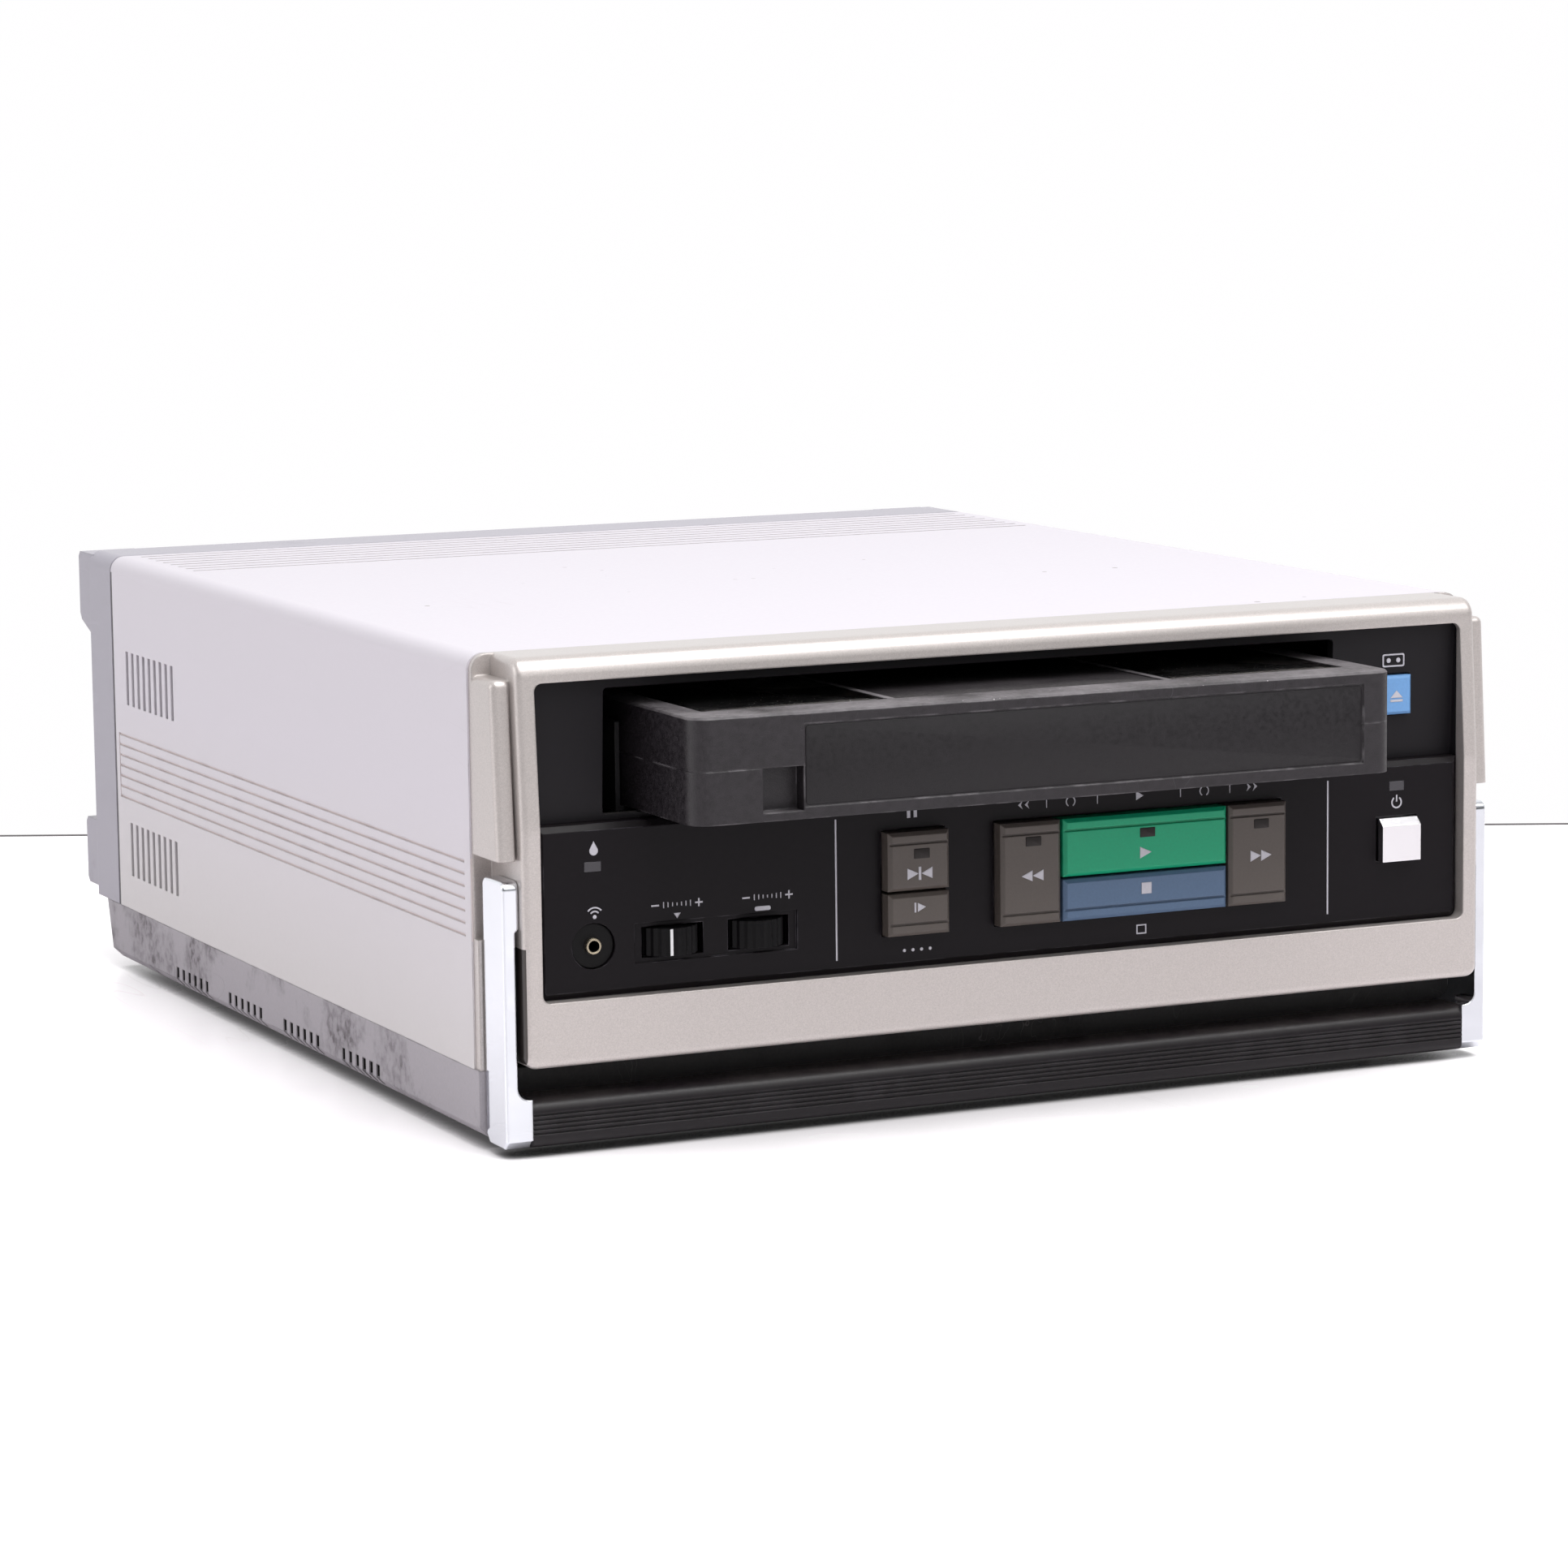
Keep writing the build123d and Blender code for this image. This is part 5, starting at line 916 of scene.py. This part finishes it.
jackTrim = {"x": -111.4, "z": 49.1, "steps": 32,
            "profile": ((1.32, -1.2), (1.32, -0.02), (1.47, 0.03), (1.8, 0.03), (2.0, -0.1),
                        (2.02, -1.0))}
centre = Vector((jackTrim["x"] * mm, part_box("remote_jack")[0].y, jackTrim["z"] * mm))
shape = bmesh.new()
rings = [ringAt(shape, centre, upward.rotation_difference(forward), radius, rise,
                jackTrim["steps"]) for radius, rise in jackTrim["profile"]]
for lower, upper in zip(rings, rings[1:] + rings[:1]):
    joinRings(shape, lower, upper)
collarLook = {**brassLook, "colour": tint(176, 165, 144)}
makePiece("jackCollar", shape, [makeFinish("collarBrass", collarLook)], "housing")
print("wheels and jack trimmed")

# windows of the cassette: a dark well, the tape pack and the hub under a clear pane
# distances are in mm from the spine of the cassette and from its middle
spineLow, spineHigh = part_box("cassette_upper_shell")
spineDepth = depthOf(spineLow.y)
cassetteMiddle = (spineLow.x + spineHigh.x) / 2 / mm
cassetteTop = spineHigh.z / mm
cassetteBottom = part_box("cassette_lower_shell")[0].z
windowLook = {"fromSpine": 12.0, "length": 60.0, "width": 48.0, "middle": 62.0, "gap": 0.4,
              "corner": 1.6, "recess": 0.4, "sheet": 0.04, "hub": 13.0, "steps": 48,
              "pane": (0.22, 0.38, 0.05),
              "packs": ((-1, "supply_reel", 38.0), (1, "takeup_reel", 22.0))}
paneLook = {"colour": tint(196, 194, 196), "index": 1.2, "dustScale": 50.0, "dustAndTopLight": 0.5,
            "scratchScale": 40.0, "scratch": 0.4, "rough": (0.08, 0.6)}
darkLook = {"colour": tint(40, 36, 38), "grain": 1200.0, "dustAndTopLight": 0.6, "dustScale": 55.0,
            "dustAndTopLightColour": tint(150, 138, 134)}
darkFinish = makeFinish("windowDark", darkLook)
paneFinish = bpy.data.materials.new("windowPane")
paneFinish.use_nodes = True
tree = paneFinish.node_tree
shader = tree.nodes["Principled BSDF"].inputs
shader["Base Color"].default_value = paneLook["colour"]
shader["Transmission Weight"].default_value = 1.0
shader["IOR"].default_value = paneLook["index"]
film = use(tree, effects["dustAndTopLight"], Scale=paneLook["dustScale"], Amount=paneLook["dustAndTopLight"])["Mask"]
lines = use(tree, effects["hairScratches"], Scale=paneLook["scratchScale"],
            Amount=paneLook["scratch"])["Mask"]
both = calc(tree, "ADD", film, lines, clamp=True)
tree.links.new(ramp(tree, both, 0.0, 1.0, *paneLook["rough"]), shader["Roughness"])

windowShape, paneShape = bmesh.new(), bmesh.new()
face = facing("top", cassetteTop - windowLook["recess"])
middleD = spineDepth + windowLook["fromSpine"] + windowLook["length"] / 2
halfX = windowLook["width"] / 2 - windowLook["gap"]
halfD = windowLook["length"] / 2 - windowLook["gap"]
sheet = windowLook["sheet"]
for side, reel, pack in windowLook["packs"]:
    x = cassetteMiddle + side * windowLook["middle"]
    frameOutline = roundRect(x, middleD, 2 * halfX, 2 * halfD, windowLook["corner"])
    addSlab(windowShape, [frameOutline], face, 0, sheet)
    reelMiddle = middleOf(reel)
    for index, radius in ((1, pack), (2, windowLook["hub"])):
        outline = disc(reelMiddle.x / mm, depthOf(reelMiddle.y), radius, windowLook["steps"])
        for axis, limit, below in ((0, x - halfX, False), (0, x + halfX, True),
                                   (1, middleD - halfD, False), (1, middleD + halfD, True)):
            outline = clipped(outline, axis, limit, below)
        addSlab(windowShape, [outline], face, index * sheet, (index + 1) * sheet, index=index)
    addSlab(paneShape, [frameOutline], face, *windowLook["pane"])
makePiece("cassetteReelView", windowShape, [darkFinish, tapeFinish, reelFinish], "cassette")
makePiece("cassetteWindows", paneShape, [paneFinish], "cassette")

# plain strips on the top label's place, and a plain spine plate
stripLook = {"colour": tint(26, 23, 26), "roughSpread": 0.2, "tone": 0.2, "grain": 800.0,
             "bump": 0.5, "bumpDepth": 0.00008, "dustAndTopLight": 0.25, "dustScale": 45.0, "scratch": 0.3,
             "dustAndTopLightColour": tint(110, 104, 106), "specular": 0.35, "edgeWearAndLight": 0.1}
stripFinish = makeFinish("labelStrip", stripLook)
topPlate = {"width": 71.2, "length": 59.2, "corner": 1.0, "rise": 0.18, "bevel": 0.05}
spinePlate = {"fromLeft": 28.2, "width": 150.0, "height": 19.4, "gap": 0.4, "corner": 0.8,
              "rise": 0.12, "bevel": 0.05}
shape = bmesh.new()
addSlab(shape, [roundRect(cassetteMiddle, middleD, topPlate["width"], topPlate["length"],
                          topPlate["corner"])], face, 0, topPlate["rise"], topPlate["bevel"])
makePiece("cassetteTopPlate", shape, [stripFinish], "cassette")
shape = bmesh.new()
plateX = spineLow.x / mm + spinePlate["fromLeft"] + spinePlate["width"] / 2
plateZ = (cassetteBottom / mm + cassetteTop) / 2
addSlab(shape, [roundRect(plateX, plateZ, spinePlate["width"] - 2 * spinePlate["gap"],
                          spinePlate["height"] - 2 * spinePlate["gap"], spinePlate["corner"])],
        facing("front", spineDepth + windowLook["recess"]), 0, spinePlate["rise"],
        spinePlate["bevel"])
makePiece("cassetteSpinePlate", shape, [stripFinish], "cassette")

screwLook = {"colour": tint(178, 178, 180), "metal": 1.0, "rough": 0.3, "grain": 900.0, "edgeWearAndLight": 0.4}
recessLook = {"colour": tint(40, 40, 42), "metal": 0.8, "grain": 900.0}
screwFinishes = [makeFinish("screwSteel", screwLook), makeFinish("screwRecess", recessLook)]
cassetteScrews = {"places": ((-84, 10), (84, 10), (0, 46), (-84, 78), (84, 78)), "radius": 2.2,
                  "height": 0.06}
shape = bmesh.new()
for x, d in cassetteScrews["places"]:
    centre = Vector(((cassetteMiddle + x) * mm, frontY + (spineDepth + d) * mm, cassetteBottom))
    addScrew(shape, centre, downward, cassetteScrews["radius"], cassetteScrews["height"])
makePiece("cassetteScrews", shape, screwFinishes, "cassette")
print("cassette finished")

# screws of the base and the rear panel
caseScrews = {"baseHalf": 112.0, "baseDepths": (52.0, 290.0), "rearHalf": 123.0, "rearRise": 6.2,
              "radius": 3.2, "height": 1.4}
panelLow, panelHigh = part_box("rear_panel")
rearInset = caseScrews["rearRise"] * mm
baseSpots = [(side * caseScrews["baseHalf"] * mm, frontY + d * mm, baseLow.z)
             for side in (-1, 1) for d in caseScrews["baseDepths"]]
rearSpots = [(side * caseScrews["rearHalf"] * mm, panelHigh.y, z)
             for side in (-1, 1) for z in (panelLow.z + rearInset, panelHigh.z - rearInset)]
for name, spots, axis in (("baseScrews", baseSpots, downward), ("rearScrews", rearSpots, backward)):
    shape = bmesh.new()
    for spot in spots:
        addScrew(shape, Vector(spot), axis, caseScrews["radius"], caseScrews["height"])
    makePiece(name, shape, screwFinishes, "housing")

# rear sockets: coloured collars and inner contacts
socketTrim = {"z": 74.0, "phono": [(32.0, tint(222, 182, 38)), (52.0, tint(196, 52, 44))],
              "collar": (7.4, 36), "nut": (5.85, 6), "collarRise": 1.1, "collarBevel": 0.25,
              "coax": (-34.0, -10.0), "coreInset": 2.4,
              "core": ((3.85, 0.0), (3.85, 1.2), (1.1, 1.5), (0.6, 1.5), (0.6, 0.4), (0.0, 0.4))}
face = facing("back", depthOf(panelHigh.y))
for k, (x, colour) in enumerate(socketTrim["phono"]):
    collarFinish = makeFinish(f"phonoCollar{k}", {"colour": colour, "rough": 0.4, "grain": 1200.0})
    outlines = [disc(x, socketTrim["z"], *socketTrim[key]) for key in ("collar", "nut")]
    shape = bmesh.new()
    addSlab(shape, outlines, face, 0, socketTrim["collarRise"], socketTrim["collarBevel"])
    makePiece(f"phonoCollar{k}", shape, [collarFinish], "housing")
coreFinish = makeFinish("socketCore", {"colour": tint(224, 220, 208), "rough": 0.4,
                                       "grain": 1200.0})
pinFinish = makeFinish("contactBrass", brassLook)
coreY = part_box("coax_sockets")[1].y - socketTrim["coreInset"] * mm
shape = bmesh.new()
for x in socketTrim["coax"]:
    addTurned(shape, socketTrim["core"], Vector((x * mm, coreY, socketTrim["z"] * mm)), backward)
makePiece("coaxCores", shape, [coreFinish], "housing")
print("rear finished")

# feet: a screw in the middle of each
footScrew = {"inset": 9.0, "rise": 0.06,
             "profile": ((4.2, 0.0), (4.0, 0.04), (3.4, 0.05), (3.2, 0.01), (0.0, 0.01))}
footLow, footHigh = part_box("rubber_feet")
inset = footScrew["inset"] * mm
shape = bmesh.new()
for x in (footLow.x + inset, footHigh.x - inset):
    for y in (footLow.y + inset, footHigh.y - inset):
        addTurned(shape, footScrew["profile"], Vector((x, y, footScrew["rise"] * mm)), downward)
makePiece("footWashers", shape, [steelFinish], "housing")

# loose parts on the main board; the taller ones keep clear of its rows of packages
boardParts = {"seed": 7, "edge": (10.0, 8.0), "sink": 0.1, "rowPitch": 44.0, "rowClear": 15.0}
resistor = {"count": 90, "rise": 1.2, "steps": 10,
            "profile": ((0.0, -3.2), (0.9, -3.0), (1.1, -2.4), (0.85, -1.6), (0.85, 1.6),
                        (1.1, 2.4), (0.9, 3.0), (0.0, 3.2))}
capacitor = {"count": 34, "radius": (1.8, 3.2), "height": (5, 9), "edge": 0.3, "dip": 0.1,
             "steps": 14}
coil = {"count": 8, "size": 7.0, "corner": 0.6, "height": 8.0, "bevel": 0.4}
plug = {"places": (-70, -30, 10, 50), "fromFront": 4.0, "size": (22.0, 4.5), "height": 6.0,
        "bevel": 0.3}
chance = random.Random(boardParts["seed"])
mainLow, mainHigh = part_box("main_board")
partFinishes = [makeFinish(name, look) for name, look in (
    ("resistorBody", {"colour": tint(196, 164, 116)}),
    ("capacitorSleeve", {"colour": tint(36, 52, 92), "rough": 0.35}),
    ("coilCan", {"colour": tint(190, 190, 190), "metal": 1.0, "rough": 0.35}),
    ("connectorWhite", {"colour": tint(222, 220, 208)}))]
edgeX, edgeY = (inset * mm for inset in boardParts["edge"])
rows = [(k - 1.5) * boardParts["rowPitch"] * mm for k in range(4)]
partFoot = boardTop - boardParts["sink"] * mm
face = facing("top", partFoot / mm)
shape = bmesh.new()
for kind, part in enumerate((resistor, capacitor, coil)):
    for k in range(part["count"]):
        x = chance.uniform(mainLow.x + edgeX, mainHigh.x - edgeX)
        y = chance.uniform(mainLow.y + edgeY, mainHigh.y - edgeY)
        if kind and min(abs(x - row) for row in rows) < boardParts["rowClear"] * mm:
            continue
        foot = Vector((x, y, partFoot))
        if part is resistor:
            along = Vector((1, 0, 0)) if chance.random() < 0.5 else backward
            addTurned(shape, part["profile"], foot + upward * part["rise"] * mm, along,
                      part["steps"], kind)
        elif part is capacitor:
            radius, height = chance.uniform(*part["radius"]), chance.uniform(*part["height"])
            addTurned(shape, ((radius, 0), (radius, height - part["edge"]),
                              (radius - part["edge"], height), (0.0, height - part["dip"])),
                      foot, upward, part["steps"], kind)
        else:
            addSlab(shape, [roundRect(x / mm, depthOf(y), part["size"], part["size"],
                                      part["corner"])],
                    face, 0, part["height"], part["bevel"], kind)
for x in plug["places"]:
    addSlab(shape, [roundRect(x, depthOf(mainLow.y) + plug["fromFront"], *plug["size"])], face, 0,
            plug["height"], plug["bevel"], 3)
makePiece("mainBoardParts", shape, partFinishes, "housing")
print("boards filled")

# head drum: hub plate with two screws
drumHub = {"tilt": 5.5, "rise": 38.4, "steps": 40, "screwOut": 7.2, "screwRise": 1.6,
           "screwRadius": 1.8, "screwHeight": 1.0,
           "profile": ((11.0, -0.1), (11.0, 1.2), (10.4, 1.6), (4.0, 1.6), (3.6, 3.0), (0.0, 3.0))}
tilt = math.radians(drumHub["tilt"])
drumAxis = Vector((0, -math.sin(tilt), math.cos(tilt)))
drumJoint = next(joint for joint in frame["joints"] if joint["name"] == "drum_spin")
drumFace = Vector(drumJoint["pos_m"]) + drumAxis * drumHub["rise"] * mm
aside = drumAxis.cross(backward).normalized() * drumHub["screwOut"] * mm
shape = bmesh.new()
addTurned(shape, drumHub["profile"], drumFace, drumAxis, drumHub["steps"])
for sign in (-1, 1):
    addScrew(shape, drumFace + aside * sign + drumAxis * drumHub["screwRise"] * mm, drumAxis,
             drumHub["screwRadius"], drumHub["screwHeight"], 1, 2)
makePiece("drumHub", shape, [pinFinish, *screwFinishes], "head_wheel")
print("deck finished")


# camera, light and floor
def stand(name, data, place, aim, roll=0.0):
    # an object that looks from its place to its aim
    thing = bpy.data.objects.new(name, data)
    thing.location = place
    thing.rotation_mode = "QUATERNION"
    towards = (Vector(aim) - Vector(place)).to_track_quat("-Z", "Y")
    thing.rotation_quaternion = towards @ Quaternion((0, 0, 1), math.radians(roll))
    bpy.context.scene.collection.objects.link(thing)
    return thing


cameraLook = {"place": (-0.5685, -1.2409, 0.2545), "aim": (-0.0353, -0.09, 0.0749),
              "roll": -0.668, "lens": 118.2, "sensor": 36.0, "clip": 0.05}
cameraData = bpy.data.cameras.new("camera")
cameraData.sensor_width = cameraLook["sensor"]
cameraData.lens = cameraLook["lens"]
cameraData.clip_start = cameraLook["clip"]
bpy.context.scene.camera = stand("camera", cameraData, cameraLook["place"], cameraLook["aim"],
                                 cameraLook["roll"])

lampLook = {
    "top": {"place": (0.25, -0.72, 1.55), "aim": (0, -0.05, 0.05), "size": 1.5, "power": 31.5},
    "front": {"place": (0.45, -1.85, 0.95), "aim": (0, -0.1, 0.05), "size": 1.2, "power": 4.5},
    "left": {"place": (-1.9, 0.1, 0.7), "aim": (0, 0, 0.05), "size": 1.2, "power": 7.4},
}
for name, look in lampLook.items():
    lamp = bpy.data.lights.new(name + "Lamp", "AREA")
    lamp.shape = "SQUARE"
    lamp.size = look["size"]
    lamp.energy = look["power"]
    stand(name + "Lamp", lamp, look["place"], look["aim"])

# what shines mirrors a white backdrop and the dim room behind the camera
# the dim room lies between two heights, from (out, in) at each side of it
worldLook = {"colour": (1.0, 0.995, 1.0, 1.0), "light": 0.45, "mirrored": 0.66, "backdrop": 1.0,
             "dim": 0.85, "seen": 1.0, "roomLow": (-0.02, 0.04), "roomHigh": (0.40, 0.24),
             "roomFront": (-0.1, -0.45), "toBackdrop": (0.05, 0.45)}
world = bpy.data.worlds.new("studio")
world.use_nodes = True
bpy.context.scene.world = world
tree = world.node_tree
background = tree.nodes["Background"].inputs
background["Color"].default_value = worldLook["colour"]
rays = put(tree, "LightPath").outputs
ahead = axesOf(tree, put(tree, "TexCoord").outputs["Generated"])
room = times(tree, ramp(tree, ahead["Z"], *worldLook["roomLow"]),
             ramp(tree, ahead["Z"], *worldLook["roomHigh"]),
             ramp(tree, ahead["Y"], *worldLook["roomFront"]))
shine = ramp(tree, ahead["Y"], *worldLook["toBackdrop"], worldLook["mirrored"],
             worldLook["backdrop"])
shine = times(tree, shine, ramp(tree, room, 0.0, 1.0, 1.0, 1 - worldLook["dim"]))
mirrored = ramp(tree, rays["Is Glossy Ray"], 0.0, 1.0, worldLook["light"], shine)
direct = calc(tree, "MAXIMUM", rays["Is Camera Ray"], rays["Is Transmission Ray"])
strength = calc(tree, "MAXIMUM", mirrored, times(tree, direct, worldLook["seen"]))
tree.links.new(strength, background["Strength"])

# a pale table top whose rear edge lies square to the view, with a dark line along it
floorLook = {"colour": tint(252, 248, 251), "tone": 0.006, "rough": 0.25, "grain": 20.0,
             "bump": 0.05, "edgeWearAndLight": 0.0, "scratch": 0.35, "scratchScale": 9.0,
             "scratchColour": tint(206, 198, 196), "grime": 0.6, "grimeScale": 16.0,
             "grimeCover": 0.10, "grimeColour": tint(206, 190, 186)}
edgeLook = {"colour": tint(72, 66, 68), "rough": 0.6, "grain": 60.0, "tone": 0.3}
# painted light: the glow keeps the table as white as the backdrop to the eye, more so where it is
# open, and lights nothing near and wide are how far off the object darkens it, with a painted
# contact shadow and with less glow, and where each (starts, ends)
tableTop = {"front": -0.60, "back": 0.322, "half": 3.0, "line": 0.004, "turn": -26.4,
            "glow": 0.12, "openGlow": 0.25, "near": 0.0045, "contactShade": (0.3, 0.75), "dark": 0.02,
            "wide": 0.12, "open": (0.3, 0.55), "samples": 8}
turn = Matrix.Rotation(math.radians(tableTop["turn"]), 3, "Z")
half, back = tableTop["half"], tableTop["back"]
shape = bmesh.new()
for index, low, high in ((0, tableTop["front"], back), (1, back, back + tableTop["line"])):
    corners = [shape.verts.new(turn @ Vector((x, y, 0)))
               for x, y in ((-half, low), (half, low), (half, high), (-half, high))]
    shape.faces.new(corners).material_index = index
floorFinish = makeFinish("floorPaint", floorLook)
tree = floorFinish.node_tree
shader = next(node for node in tree.nodes if node.type == "BSDF_PRINCIPLED").inputs


def openness(tree, reach, *limits):
    # how open the table is within reach of the object; it sets the painted contact shadow and the
    # painted glow
    around = put(tree, "AmbientOcclusion", {"samples": tableTop["samples"]}, Distance=reach)
    return ramp(tree, around.outputs["AO"], *limits)


contactShade = openness(tree, tableTop["near"], *tableTop["contactShade"])
glow = openness(tree, tableTop["wide"], *tableTop["open"], tableTop["glow"],
                tableTop["glow"] + tableTop["openGlow"])
painted = shader["Base Color"].links[0].from_socket
# painted contact shadow: the table's colour turns dark where the object stands close
paintedContactShadow = shade(floorLook["colour"], tableTop["dark"])
tree.links.new(mixed(tree, contactShade, paintedContactShadow, painted), shader["Base Color"])
paintedGlow = times(tree, glow, contactShade, put(tree, "LightPath").outputs["Is Camera Ray"])
tree.links.new(grey(tree, paintedGlow), shader["Emission Color"])
shader["Emission Strength"].default_value = 1.0
floor = showMesh("floor", shape, [floorFinish, makeFinish("floorEdge", edgeLook)])
bpy.context.scene.view_settings.view_transform = "Standard"
print("stage set")
